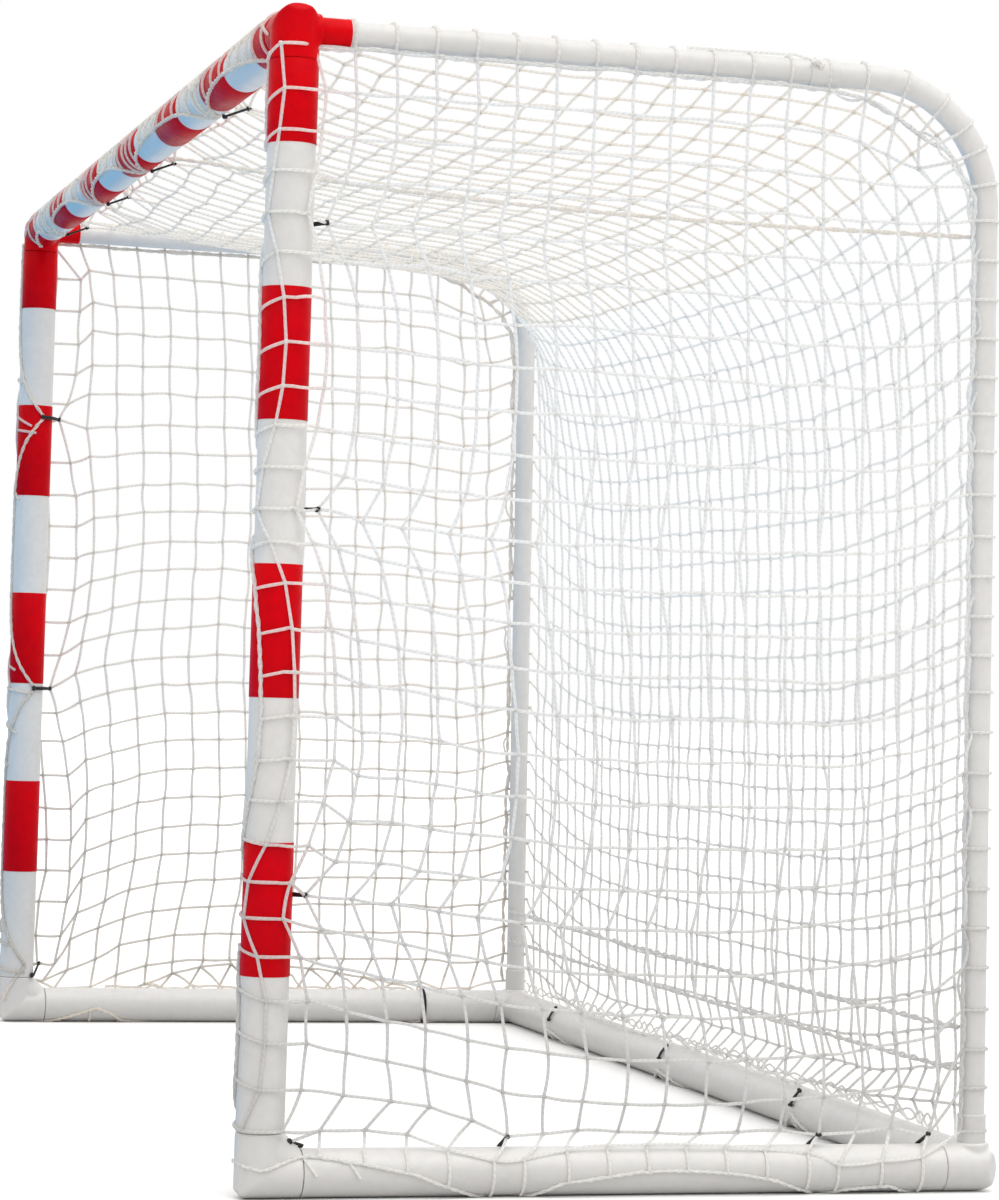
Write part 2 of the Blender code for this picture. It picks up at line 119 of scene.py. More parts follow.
X, Y, Z = Vector((1, 0, 0)), Vector((0, 1, 0)), Vector((0, 0, 1))
SIDES = {"right": 1, "left": -1}


# %% [markdown]
# ## Helpers for materials
# Colours are written as sRGB hex, as a colour picker gives them, and one function
# turns them to the linear values that shaders need. A second function links two nodes,
# and a third adds any node with its settings and its inputs, so a material reads as a
# list of steps.

# %% Colour and node helpers
def colour(code, alpha=1.0):
    """sRGB hex to linear RGBA."""
    out = []
    for k in (0, 2, 4):
        value = int(code[k:k + 2], 16) / 255
        out.append(value / 12.92 if value <= 0.04045 else ((value + 0.055) / 1.055) ** 2.4)
    return (*out, alpha)


def join(tree, source, target):
    """Link a socket, or a node's first output that is in use, to an input."""
    if isinstance(source, bpy.types.Node):
        source = next(socket for socket in source.outputs if socket.enabled)
    tree.links.new(source, target)


def add(tree, kind, inputs=None, **settings):
    """Add a node with its settings. Each input is given a value, a socket or another node."""
    made = tree.nodes.new(kind)
    for key, value in settings.items():
        setattr(made, key, value)
    for key, value in (inputs or {}).items():
        if isinstance(value, (bpy.types.Node, bpy.types.NodeSocket)):
            join(tree, value, made.inputs[key])
        else:
            made.inputs[key].default_value = value
    return made


def new_material(name):
    material = bpy.data.materials.new(name)
    material.use_nodes = True
    tree = material.node_tree
    shader = tree.nodes["Principled BSDF"]
    return material, tree, shader


print("half-bright sRGB grey is", round(colour("808080")[0], 3), "in linear light")

# %% [markdown]
# ## Plastic tube, moulded plastic and film
# The tube is extruded PVC: even, satin, with faint draw lines along its length and
# handling marks. The fittings are moulded, so they are a little glossier and have a
# fine orange-peel skin. The red bands are a thin glossy film, with slow waves where
# it was rolled on. All three take their colour from two noises at two sizes, so that
# no surface is one flat value. Low down they also take a painted shade: a grey is
# mixed in towards the ground, on sides and undersides.

# %% Plastics
def plastic(name, base, shade, roughness, peel_mm, peel_height, shine=0.35, painted_shade_colour="A8A7A4"):
    """Plastic with slow colour changes, small scuffs and an orange-peel skin."""
    material, tree, shader = new_material(name)
    place = add(tree, "ShaderNodeTexCoord").outputs["Object"]
    slow = add(tree, "ShaderNodeTexNoise",
               {"Vector": place, "Scale": 5.0, "Detail": 3.0, "Roughness": 0.6})
    scuff = add(tree, "ShaderNodeTexNoise",
                {"Vector": place, "Scale": 60.0, "Detail": 5.0, "Roughness": 0.7})
    both = add(tree, "ShaderNodeMath", {0: slow, 1: scuff}, operation="MULTIPLY")
    ramp = add(tree, "ShaderNodeValToRGB", {"Fac": both})
    ramp.color_ramp.elements[0].position = 0.12
    ramp.color_ramp.elements[0].color = colour(shade)
    ramp.color_ramp.elements[1].position = 0.34
    ramp.color_ramp.elements[1].color = colour(base)
    # Painted shade: none above 0.9 m or on upward faces, and up to 48 percent below 0.1 m on sides and
    # undersides
    height = add(tree, "ShaderNodeSeparateXYZ", {0: place}).outputs["Z"]
    low = add(tree, "ShaderNodeMapRange", {"Value": height, "From Min": 0.9, "From Max": 0.1},
              interpolation_type="SMOOTHSTEP")
    face = add(tree, "ShaderNodeNewGeometry").outputs["Normal"]
    facing = add(tree, "ShaderNodeSeparateXYZ", {0: face}).outputs["Z"]
    side = add(tree, "ShaderNodeMapRange",
               {"Value": facing, "From Min": 0.85, "From Max": 0.15, "To Max": 0.48})
    painted_shade_mask = add(tree, "ShaderNodeMath", {0: low, 1: side}, operation="MULTIPLY")
    painted_shade_mask = add(tree, "ShaderNodeMath", {0: painted_shade_mask, 1: slow}, operation="MULTIPLY")
    painted_shade_base = add(tree, "ShaderNodeMix", {"Factor": painted_shade_mask, "A": ramp, "B": colour(painted_shade_colour)}, data_type="RGBA")
    join(tree, painted_shade_base, shader.inputs["Base Color"])
    rough = add(tree, "ShaderNodeMapRange", {"Value": scuff, "From Min": 0.3, "From Max": 0.7,
                                             "To Min": roughness + 0.1, "To Max": roughness - 0.05})
    join(tree, rough, shader.inputs["Roughness"])
    peel = add(tree, "ShaderNodeTexNoise", {"Vector": place, "Scale": 1000.0 / peel_mm, "Detail": 2.0})
    bump = add(tree, "ShaderNodeBump", {"Height": peel, "Strength": 0.25, "Distance": peel_height})
    join(tree, bump, shader.inputs["Normal"])
    shader.inputs["IOR"].default_value = 1.52
    shader.inputs["Specular IOR Level"].default_value = shine
    return material


# PVC tube: extruded, satin. Peel of 4 mm is coarser than the real skin, so that it shows
white_tube = plastic("extruded_white_pvc", "DEDDDB", "D5D4D2", 0.36, 4.0, 0.0002, shine=0.5)
# Fittings: injection moulded PVC, smoother and a touch whiter
white_moulded = plastic("moulded_white_pvc", "DFDEDC", "D6D5D3", 0.34, 3.0, 0.0002, shine=0.5)
red_moulded = plastic("moulded_red_plastic", "DC000C", "C80012", 0.34, 3.0, 0.0002, shine=0.06)
# Film: printed vinyl, rolled on. Waves of 25 mm are its slow unevenness
# The film's painted shade low down is a darker red
red_film = plastic("red_vinyl_film", "D2000E", "BE0013", 0.38, 25.0, 0.0008, shine=0.05, painted_shade_colour="9A0012")
print("plastics:", [m.name for m in (white_tube, white_moulded, red_moulded, red_film)])


# %% [markdown]
# ## Mesh helpers
# A tube of any path is a row of rings. The rings keep one fixed sideways direction,
# which suits paths that lie in a plane, as every tube of this frame does.

# %% Rings, tubes and pieces
def ring(centre, across, up, radius, sides):
    turns = [2 * math.pi * k / sides for k in range(sides)]
    return [centre + radius * (math.cos(t) * across + math.sin(t) * up) for t in turns]


def skin(rings, closed=False):
    """Faces between rings. Closed joins the last to the first, else the ends are capped."""
    sides = len(rings[0])
    verts = [tuple(p) for one in rings for p in one]
    faces = []
    for row in range(len(rings) if closed else len(rings) - 1):
        a, b = row * sides, (row + 1) % len(rings) * sides
        faces += [(a + k, a + (k + 1) % sides, b + (k + 1) % sides, b + k) for k in range(sides)]
    if not closed:
        faces.append(tuple(range(sides)))
        faces.append(tuple(range((len(rings) - 1) * sides, len(rings) * sides)))
    return verts, faces


def mesh_object(name, verts, faces, material, edges=()):
    """An object at the origin, its faces turned outwards."""
    mesh = bpy.data.meshes.new(name)
    mesh.from_pydata(verts, edges, faces)
    if faces:
        work = bmesh.new()
        work.from_mesh(mesh)
        bmesh.ops.recalc_face_normals(work, faces=work.faces)
        work.to_mesh(mesh)
        work.free()
        mesh.shade_smooth()
        mesh.set_sharp_from_angle(angle=math.radians(40))
    mesh.materials.append(material)
    thing = bpy.data.objects.new(name, mesh)
    bpy.context.scene.collection.objects.link(thing)
    return thing


def piece(thing, slot, *nodes):
    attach(thing, "root")
    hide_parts(*nodes)
    return thing


print("64 sides stay within", round(1e6 * TUBE * (1 - math.cos(math.pi / 64))), "micrometres of round")

# %% [markdown]
# ## Straight tubes and film bands
# The thick tubes are cut from one extruded stock of 70 mm, square at both ends. The
# solids have the right places and lengths, so each look reads its box and is swept
# with enough sides to keep its outline round. A red band is a sleeve of film, so thin
# that only a faint step shows at its edge.

# %% Straight tubes
def straight(name, axis, low, high, radius, material, sides=64):
    """A closed tube along one axis, its ends barely broken."""
    middle = (low + high) / 2
    start, end = (middle + axis * axis.dot(bound - middle) for bound in (low, high))
    across, up = (Y, Z) if axis == X else (X, Z) if axis == Y else (X, Y)
    edge = 0.0006
    places = ((start, radius - edge), (start + edge * axis, radius),
              (end - edge * axis, radius), (end, radius - edge))
    rings = [ring(place, across, up, size, sides) for place, size in places]
    return mesh_object(name, *skin(rings), material)


straight_tubes = []
for label in SIDES:
    straight_tubes += [(f"{label}_front_post", Z, TUBE), (f"{label}_ground_bar", Y, TUBE),
                       (f"{label}_top_tube", Y, THIN)]
straight_tubes += [("crossbar", X, TUBE), ("rear_ground_bar", X, TUBE)]
for name, axis, radius in straight_tubes:
    piece(straight(name + "_look", axis, *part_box(name), radius, white_tube), "white_pvc", name)
print("straight tubes:", len(straight_tubes))


# %% Film bands
def band_rings(axis, low, high, sides=64):
    """Film sleeve: out along the tube's skin and back over the film's face."""
    middle = (low + high) / 2
    start, end = (middle + axis * axis.dot(bound - middle) for bound in (low, high))
    across, up = (Y, Z) if axis == X else (X, Y)
    inner, outer, edge = TUBE + 0.00005, TUBE + 0.0007, 0.0003
    places = ((start, inner), (start, outer - 0.0002), (start + edge * axis, outer),
              (end - edge * axis, outer), (end, outer - 0.0002), (end, inner))
    return [ring(place, across, up, radius, sides) for place, radius in places]


def band_set(name, nodes, axis):
    verts, faces = [], []
    for node in nodes:
        more, joined = skin(band_rings(axis, *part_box(node)), closed=True)
        faces += [tuple(k + len(verts) for k in face) for face in joined]
        verts += more
    return piece(mesh_object(name, verts, faces, red_film), "red_film", *nodes)


for start, axis in (("crossbar", X), ("right_post", Z), ("left_post", Z)):
    nodes = sorted(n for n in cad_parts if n.startswith(start + "_band_"))
    thing = band_set(start + "_bands", nodes, axis)
    print(thing.name, len(nodes), "bands,", len(thing.data.polygons), "faces")

# %% [markdown]
# ## The two rear bows
# Each bow is one thin tube bent cold round a former: up from the rear foot, round a
# wide bend and forward to a coupling sleeve. Its centreline is a straight, an arc and
# a straight. The same line is the rail that the net hangs on, so it is kept as points
# with a direction that points out of the goal.

# %% Centreline of a bow
def bow_line():
    """Points (y, z), outward directions and run along the line, from crossbar to floor."""
    start, corner, end = (np.array(p) for p in ((FRONT, HIGH), (REAR - LEAN, HIGH), (REAR, LOW)))
    back = (start - corner) / np.linalg.norm(start - corner)
    down = (end - corner) / np.linalg.norm(end - corner)
    half = math.acos(back @ down) / 2
    middle = (back + down) / np.linalg.norm(back + down)
    centre = corner + BEND / math.sin(half) * middle
    first = corner + BEND / math.tan(half) * back
    last = corner + BEND / math.tan(half) * down
    turns = [math.atan2(p[1] - centre[1], p[0] - centre[0]) for p in (first, last)]
    points = [start + (first - start) * t for t in np.linspace(0, 1, 120)]
    for t in np.linspace(*turns, 60)[1:]:
        points.append(centre + BEND * np.array([math.cos(t), math.sin(t)]))
    points += [last + (end - last) * t for t in np.linspace(0, 1, 160)[1:]]
    points = np.array(points)
    along = np.gradient(points, axis=0)
    along /= np.linalg.norm(along, axis=1, keepdims=True)
    outward = np.stack([-along[:, 1], along[:, 0]], 1)
    steps = np.linalg.norm(np.diff(points, axis=0), axis=1)
    return points, outward, np.concatenate([[0], np.cumsum(steps)])


BOW_POINTS, BOW_OUT, BOW_RUN = bow_line()


def bow_at(run):
    """Centre (y, z) and outward direction (y, z) at a run along the bow."""
    values = [np.interp(run, BOW_RUN, column) for column in (*BOW_POINTS.T, *BOW_OUT.T)]
    size = math.hypot(values[2], values[3])
    return values[0], values[1], values[2] / size, values[3] / size


print("bow line:", round(BOW_RUN[-1], 3), "m")

# %% Smooth bows
BOW_SIDES = 32
COLLAR_DEPTH = 0.024                             # a bow ends this far above the foot's axis


def bow_tube(name, side, run_start, run_end, radius, steps, material):
    rings = []
    for run in np.linspace(run_start, run_end, steps):
        y, z, out_y, out_z = bow_at(run)
        centre = Vector((side * HALF, y, z))
        rings.append(ring(centre, X, Vector((0, out_y, out_z)), radius, BOW_SIDES))
    return mesh_object(name, *skin(rings), material)


for label, side in SIDES.items():
    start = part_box(f"{label}_rear_bow")[0].y - FRONT
    thing = bow_tube(f"{label}_bow", side, start, BOW_RUN[-1] - COLLAR_DEPTH, THIN, 90, white_tube)
    piece(thing, "white_pvc", f"{label}_rear_bow")
    print(thing.name, len(thing.data.polygons), "faces")

# %% [markdown]
# ## Moulded fittings
# A moulded elbow has soft edges everywhere: at its point, where the gusset meets the
# legs, and at the rims of its sockets. The plain solids are built sharp, joined by a
# voxel remesh, and then relaxed a few times, which rounds every edge by the same few
# millimetres, as a mould would.

# %% Sharp elbows, remeshed soft
SHELL = TUBE + 0.0004                            # a fitting stands a little proud of its tubes
VOXEL = 0.0022


def elbow_rings(corner, leg_a, leg_b, reach, radius, sides=64):
    """Two straight legs that meet in a mitre."""
    normal = leg_a.cross(leg_b)
    turns = [2 * math.pi * k / sides for k in range(sides)]
    mitre = [corner + radius * (math.cos(t) * (leg_a + leg_b) + math.sin(t) * normal) for t in turns]
    start = ring(corner + reach * leg_a, leg_b, normal, radius, sides)
    end = ring(corner + reach * leg_b, leg_a, normal, radius, sides)
    return [start, mitre, end]


def cut_point(thing, corner, leg_a, leg_b, chamfer):
    """Take the point off the outer corner with one flat cut."""
    outward = -(leg_a + leg_b).normalized()
    depth = TUBE * math.sqrt(2) - chamfer / math.sqrt(2)
    work = bmesh.new()
    work.from_mesh(thing.data)
    parts = work.verts[:] + work.edges[:] + work.faces[:]
    cut = bmesh.ops.bisect_plane(work, geom=parts, plane_co=corner + depth * outward,
                                 plane_no=outward, clear_outer=True)
    rim = [e for e in cut["geom_cut"] if isinstance(e, bmesh.types.BMEdge)]
    bmesh.ops.holes_fill(work, edges=rim)
    work.to_mesh(thing.data)
    work.free()


def moulded(name, bodies, relax_steps, material):
    """Join sharp bodies by voxels, then soften them."""
    work = bmesh.new()
    for body in bodies:
        work.from_mesh(body.data)
        bpy.data.objects.remove(body)
    joined = bpy.data.meshes.new(name)
    work.to_mesh(joined)
    work.free()
    thing = bpy.data.objects.new(name, joined)
    bpy.context.scene.collection.objects.link(thing)
    remesh = thing.modifiers.new("voxels", "REMESH")
    remesh.mode = "VOXEL"
    remesh.voxel_size = VOXEL
    soften = thing.modifiers.new("soften", "SMOOTH")
    soften.factor = 0.5
    soften.iterations = relax_steps
    graph = bpy.context.evaluated_depsgraph_get()
    mesh = bpy.data.meshes.new_from_object(thing.evaluated_get(graph))
    thing.modifiers.clear()
    thing.data = mesh
    mesh.shade_smooth()
    mesh.materials.clear()
    mesh.materials.append(material)
    mesh.name = name
    return thing


print("voxels across a fitting's leg:", round(2 * SHELL / VOXEL))

# %% Six corner fittings
TOP_REACH, FOOT_REACH, REAR_REACH = 0.0448, 0.0588, 0.0518     # corner axis to a leg's end
TOP_CUT, FOOT_CUT, REAR_CUT = 0.010, 0.012, 0.020              # flat across the outer corner
STUB = 0.0375                                    # corner axis to the end of a short side socket
BRACE_OUT, BRACE_HALF, BRACE_RADIUS = 0.025, 0.0178, 0.0302    # the gusset in a front foot


def rod(name, start, end, across, up, radius, sides=48):
    rings = [ring(place, across, up, radius, sides) for place in (start, end)]
    return mesh_object(name, *skin(rings), white_tube)


def elbow(corner, leg_a, leg_b, reach, cut, material):
    thing = mesh_object("elbow", *skin(elbow_rings(corner, leg_a, leg_b, reach, SHELL)), material)
    cut_point(thing, corner, leg_a, leg_b, cut)
    return thing


for label, side in SIDES.items():
    inward = -side * X
    head, foot, heel = (Vector((side * HALF, *p)) for p in ((FRONT, HIGH), (FRONT, LOW), (REAR, LOW)))
    upright = (Vector((side * HALF, REAR - LEAN, HIGH)) - heel).normalized()
    top = elbow(head, inward, -Z, TOP_REACH, TOP_CUT, red_moulded)
    hub = rod("hub", head, head + STUB * Y, X, Z, 0.0255)
    thing = moulded(f"{label}_top_elbow", [top, hub], 4, red_moulded)
    piece(thing, "red_plastic", f"{label}_top_corner")
    low = elbow(foot, Y, Z, FOOT_REACH, FOOT_CUT, white_moulded)
    middle, along = foot + BRACE_OUT * (Y + Z), (Z - Y).normalized()
    brace = rod("brace", middle - BRACE_HALF * along, middle + BRACE_HALF * along,
                X, (Y + Z).normalized(), BRACE_RADIUS)
    thing = moulded(f"{label}_foot_elbow", [low, brace], 5, white_moulded)
    piece(thing, "white_pvc", f"{label}_front_foot")
    back = elbow(heel, inward, -Y, REAR_REACH, REAR_CUT, white_moulded)
    stub = rod("stub", heel, heel + STUB * upright, X, upright.cross(X), 0.0265)
    thing = moulded(f"{label}_rear_elbow", [back, stub], 9, white_moulded)
    piece(thing, "white_pvc", f"{label}_rear_foot")
    print(label, "fittings:", len(thing.data.polygons), "faces in the last")


# %% Collars and coupling sleeves
SLEEVE_RADIUS = 0.0212
COLLAR_START, COLLAR_LENGTH = 0.020, 0.060       # the start is measured from the fitting's axis


def sleeve(name, start, along, length, material):
    """Short sleeve with rounded rims and a faint bead at its open end."""
    up = along.cross(X).normalized()
    shape = [(0.0, -0.0008), (0.0004, -0.0002), (0.0012, 0.0), (length - 0.006, 0.0),
             (length - 0.004, 0.0005), (length - 0.0015, 0.0005), (length - 0.0004, 0.0001),
             (length, -0.0008)]
    rings = [ring(start + run * along, X, up, SLEEVE_RADIUS + lift, 48) for run, lift in shape]
    return mesh_object(name, *skin(rings), material)


for label, side in SIDES.items():
    head, heel = Vector((side * HALF, FRONT, HIGH)), Vector((side * HALF, REAR, LOW))
    upright = (Vector((side * HALF, REAR - LEAN, HIGH)) - heel).normalized()
    collar = sleeve(f"{label}_red_collar", head + COLLAR_START * Y, Y, COLLAR_LENGTH, red_moulded)
    piece(collar, "red_plastic", f"{label}_top_collar")
    start = heel + COLLAR_START * upright
    collar = sleeve(f"{label}_white_collar", start, upright, COLLAR_LENGTH, white_moulded)
    piece(collar, "white_pvc", f"{label}_rear_collar")
    low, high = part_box(f"{label}_coupling")
    start = Vector((side * HALF, low.y, HIGH))
    joint = sleeve(f"{label}_sleeve", start, Y, high.y - low.y, white_moulded)
    piece(joint, "white_pvc", f"{label}_coupling")
print("collars and sleeves:", 3 * len(SIDES))

# %% [markdown]
# ## The net: where its knots are
# The net is knotted twine with a square mesh of about 6 cm, laid over the frame from
# outside: one sheet for roof and back, and one for each side. On the real goal its edges
# go round the posts, the crossbar and the bars, and elastic ties pull them tight at a
# few places, so the sheet slides inwards at a tie and drifts outwards between two. That
# is what draws the waves on the posts.
# The knots are computed first, in plain numpy: those at the frame are laid on it by
# rule, and the rest hang from them. Cords hardly stretch but may go slack, so a few
# hundred rounds of "fall a little, then shorten what is too long" find the shape at rest.

# %% Net sizes
COLUMNS = 18              # meshes from a front post back to the bow
ROWS = 26                 # meshes from a ground bar up to the top tube
ACROSS = 41               # meshes from side to side
TOTAL = COLUMNS + ROWS    # meshes from the crossbar back and down to the rear bar
MESH_BACK = {1: 0.0594, -1: 0.0584}      # cord between two knots of a side panel's row
MESH_UP = {1: 0.0624, -1: 0.0588}        # the same in its columns
MESH_ACROSS, MESH_DOWN = 0.0599, 0.0582  # the same in roof and back
WRAP = 0.0375             # from a thick tube's axis to a cord that lies on it
BOW_WRAP = 0.0215         # the same on a thin tube
EDGE_X = HALF - 0.008     # where the roof and back end, on top of the thin tubes
print("meshes:", 2 * COLUMNS * ROWS + ACROSS * TOTAL)

# %% Places of the ties, in metres along their tubes
# The last place on each post, and the first on each ground bar, is the corner at the foot
POST_TIES = {1: (1.39, 0.98, 0.43, 0.06), -1: (1.27, 0.70, 0.12)}
GROUND_TIES = {1: (-0.487, -0.19, 0.29, 0.465), -1: (-0.47, -0.05, 0.33)}
BAR_TIES = (0.65, 0.0, -0.47, -0.97)
REAR_TIES = (-0.85, -0.13, 0.57)


def tie_knot(kind, place, side=1):
    """Where a tie grips the first mesh that is off the tube."""
    return np.array({"bar": (place, FRONT + 0.055, HIGH - 0.020),
                     "post": (side * (HALF + 0.012), FRONT + 0.052, place),
                     "ground": (side * (HALF + 0.018), place, 0.087),
                     "foot": (side * (HALF + 0.016), place - 0.024, 0.082),
                     "rear": (place, REAR - 0.004, 0.088),
                     "rear_end": (place + 0.004, REAR - 0.0245, 0.0695)}[kind])


print("a tie holds the roof", round(1000 * (tie_knot("bar", 0)[1] - FRONT - TUBE)), "mm behind the crossbar")

# %% Where the net lies on the posts and ground bars
# Rows of the right panel from the ground up: height, and how far round the post the
# first knot lies. A negative value is a knot that hangs free behind the post
RIGHT_ROWS = np.array((
    (0.098, 0.0430), (0.156, 0.0157), (0.222, 0.0098), (0.282, 0.0105), (0.344, 0.0249), (0.398, 0.0530),
    (0.449, 0.0438), (0.502, 0.0177), (0.563, -0.0020), (0.623, -0.0165), (0.684, -0.0194), (0.747, -0.0165),
    (0.808, -0.0109), (0.873, 0.0020), (0.931, 0.0255), (0.978, 0.0530), (1.037, 0.0412), (1.096, 0.0235),
    (1.152, 0.0144), (1.215, 0.0118), (1.278, 0.0169), (1.343, 0.0294), (1.400, 0.0490), (1.459, 0.0392),
    (1.517, 0.0314), (1.576, 0.0255), (1.640, 0.0334)))
# Rows of the left panel the same way, with the second knot too
LEFT_ROWS = np.array((
    (0.075, 0.030, -0.030), (0.083, 0.022, -0.040), (0.095, 0.015, -0.050), (0.118, -0.043, -0.079),
    (0.177, -0.038, -0.090), (0.249, -0.042, -0.100), (0.315, -0.055, -0.1046), (0.381, -0.054, -0.1056),
    (0.447, -0.050, -0.1026), (0.516, -0.042, -0.0935), (0.588, -0.034, -0.0813), (0.648, -0.004, -0.066),
    (0.705, 0.018, -0.055), (0.771, -0.006, -0.070), (0.841, -0.028, -0.086), (0.910, -0.036, -0.094),
    (0.978, -0.038, -0.097), (1.045, -0.037, -0.0945), (1.110, -0.032, -0.0915), (1.180, -0.010, -0.0773),
    (1.250, 0.012, -0.055), (1.304, -0.008, -0.067), (1.368, -0.026, -0.0823), (1.433, -0.029, -0.0863),
    (1.503, -0.0318, -0.0863), (1.571, -0.0358, -0.0863), (1.636, -0.0308, -0.0793)))
# Ground bars from the front: place along the bar, and how far round it the hem lies
LOW_HEM = {
    1: np.array((
        (-0.515, 0.014), (-0.492, 0.006), (-0.475, 0.0065), (-0.419, 0.017), (-0.331, 0.035),
        (-0.265, 0.061), (-0.190, 0.098), (-0.111, 0.051), (-0.056, 0.0432), (-0.001, 0.0353),
        (0.054, 0.0327), (0.109, 0.0347), (0.164, 0.0392), (0.219, 0.049), (0.274, 0.0726),
        (0.290, 0.090), (0.33, 0.068), (0.40, 0.061), (0.465, 0.095))),
    -1: np.array((
        (-0.52, 0.100), (-0.47, 0.118), (-0.43, 0.134), (-0.385, 0.150), (-0.350, 0.136),
        (-0.33, 0.118), (-0.25, 0.100), (-0.05, 0.100), (0.05, 0.09), (0.25, 0.08), (0.33, 0.12),
        (0.40, 0.08), (0.5, 0.07)))}
# The same for the lowest row of knots
LOW_FIRST = {
    1: np.array((
        (-0.50, -0.030), (-0.45, -0.032), (-0.40, -0.032), (-0.35, -0.028), (-0.31, -0.018), (-0.27, 0.0),
        (-0.232, 0.0144), (-0.19, 0.018), (-0.155, 0.013), (-0.11, 0.0), (-0.05, -0.008), (0.054, -0.010),
        (0.15, -0.006), (0.219, 0.0013), (0.263, 0.0059), (0.33, 0.0288), (0.395, 0.0196), (0.483, 0.0118))),
    -1: np.array((
        (-0.52, 0.040), (-0.40, 0.030), (-0.30, 0.010), (-0.281, -0.008), (-0.221, -0.033), (-0.147, -0.050),
        (-0.074, -0.057), (0.0, -0.055), (0.1, -0.045), (0.2, -0.030), (0.29, -0.010), (0.33, 0.02),
        (0.40, -0.01), (0.5, 0.0)))}
row_heights = [np.diff(rows[3:, 0]).mean() for rows in (RIGHT_ROWS, LEFT_ROWS)]
print("mean height of a row off the bar, right and left:", np.round(row_heights, 4))

# %% Rules that lay the net on a tube
rng = np.random.default_rng(7)


def pull(places, at, reach):
    """1 at each tie, fading to both sides along the tube."""
    at = np.asarray(at, float)
    return np.max([np.exp(-np.abs(at - p) / reach) for p in places], axis=0)


def crossbar_pull(x):
    """The same along the crossbar, where the corner fittings hold the net too."""
    return np.maximum(pull(BAR_TIES, x, 0.07), pull((-1.22, 1.22), x, 0.10))


def left_post_hem(height):
    """How far round the left post the hem lies."""
    return 0.052 + 0.086 * pull(POST_TIES[-1], height, 0.09)


def drift(count, step):
    """Slow random curve of about unit height."""
    ends = rng.normal(size=max(3, int(count / step) + 3))
    return np.interp(np.linspace(0, len(ends) - 1, count), np.arange(len(ends)), ends)


class Wrap:
    """Net laid round a straight tube: s runs round it from where the net leaves, t along it."""

    def __init__(self, centre, along, out, ahead, contact_degrees):
        self.centre, self.along = np.array(centre, float), np.array(along, float)
        self.out, self.ahead = np.array(out, float), np.array(ahead, float)
        self.contact = math.radians(contact_degrees)

    def point(self, s, t):
        angle = self.contact + max(s, 0) / WRAP
        c, d = math.cos(angle), math.sin(angle)
        place = self.centre + t * self.along + WRAP * (c * self.out + d * self.ahead)
        if s < 0:
            place = place - s * (d * self.out - c * self.ahead)
        return place

    def path(self, s0, t0, s1, t1, step=0.008):
        count = max(2, math.ceil(max(abs(s1 - s0), abs(t1 - t0) / 3) / step) + 1)
        return [self.point(s0 + (s1 - s0) * k, t0 + (t1 - t0) * k) for k in np.linspace(0, 1, count)]

    def chain(self, s, t):
        """Through a row of places in turn, as an edge of the net runs."""
        steps = zip(s, t, s[1:], t[1:])
        return [point for step in steps for point in self.path(*step, 0.006)[:-1]]


print("pull at a tie and 15 cm beside it:", crossbar_pull(np.array((0.0, 0.15))).round(2))

# %% Let the knots hang
def hang(grid, pinned, rest_u, rest_v, rounds, fall):
    """Positions at rest. Cords of length rest_u run along a row, rest_v along a column."""
    grid = grid.copy()
    free = (~pinned).astype(float)
    for count in range(rounds):
        grid[..., 2] -= fall * (1.05 - count / rounds) * free
        for _ in range(3):
            for turned, rest in ((grid.swapaxes(0, 1), rest_u.T), (grid, rest_v)):
                loose = free.T if turned is not grid else free
                for odd in (0, 1):
                    a, b = turned[odd:-1:2], turned[odd + 1::2]
                    wa, wb = loose[odd:-1:2], loose[odd + 1::2]
                    want = rest[odd::2]
                    apart = b - a
                    length = np.linalg.norm(apart, axis=2) + 1e-9
                    slack = 0.15 * np.minimum(length - 0.9 * want, 0)
                    excess = np.where(length > want, length - want, slack)
                    move = (excess / np.maximum(wa + wb, 1) / length)[..., None] * apart
                    a += move * wa[..., None]
                    b -= move * wb[..., None]
    return grid


# %% Edges of a side panel
def seam_point(side, run):
    """The gathered seam just inside the bow."""
    y, z, out_y, out_z = bow_at(run)
    bend = math.exp(-((run - 0.99) / 0.11) ** 2)
    inside = 0.0235 + 0.034 * bend
    return np.array([side * (HALF + 0.014 - 0.012 * bend), y - inside * out_y, z - inside * out_z])


print("seam at the middle of the bend:", seam_point(1, 0.99).round(3))


def panel_edges(side):
    """Where rows and columns meet the post, the ground bar and the bow."""
    height, first = (RIGHT_ROWS if side > 0 else LEFT_ROWS).T[:2]
    post = Wrap((side * HALF, FRONT, 0), (0, 0, 1), (side, 0, 0), (0, -1, 0), -8)
    bar = Wrap((side * HALF, 0, LOW), (0, 1, 0), (0, 0, 1), (side, 0, 0), 35)
    if side > 0:
        second = first - 0.0625 + 0.002 * drift(ROWS + 1, 2)
        hem = first + 0.0505 + 0.03 * np.clip(first - 0.03, 0, 1) / 0.023
    else:
        second, hem = LEFT_ROWS[:, 2], left_post_hem(height)
    # The bend cuts the corner off the panel, so rows and columns take turns along it
    seam_top = np.concatenate([np.arange(15) * 0.0605 + 0.0252, (0.938, 1.003, 1.045)])
    seam_side = np.concatenate([np.linspace(BOW_RUN[-1] - 0.055, 1.20, ROWS - 2), (1.145, 1.092, 1.052)])
    seam_side[1:-4] += 0.004 * drift(ROWS - 4, 2)
    low_y = np.linspace(post.point(first[0], height[0])[1], 0.505, COLUMNS + 1)
    low_first = np.interp(low_y, *LOW_FIRST[side].T)
    low_hem = np.interp(low_y, *LOW_HEM[side].T)
    for tie in GROUND_TIES[side]:
        low_y = low_y + 0.35 * (tie - low_y) * np.exp(-((low_y - tie) / 0.05) ** 2)
    return dict(post=post, bar=bar, height=height, first=first, second=second, hem=hem, low_y=low_y,
                low_first=low_first, low_hem=low_hem, seam_top=seam_top, seam_side=seam_side)


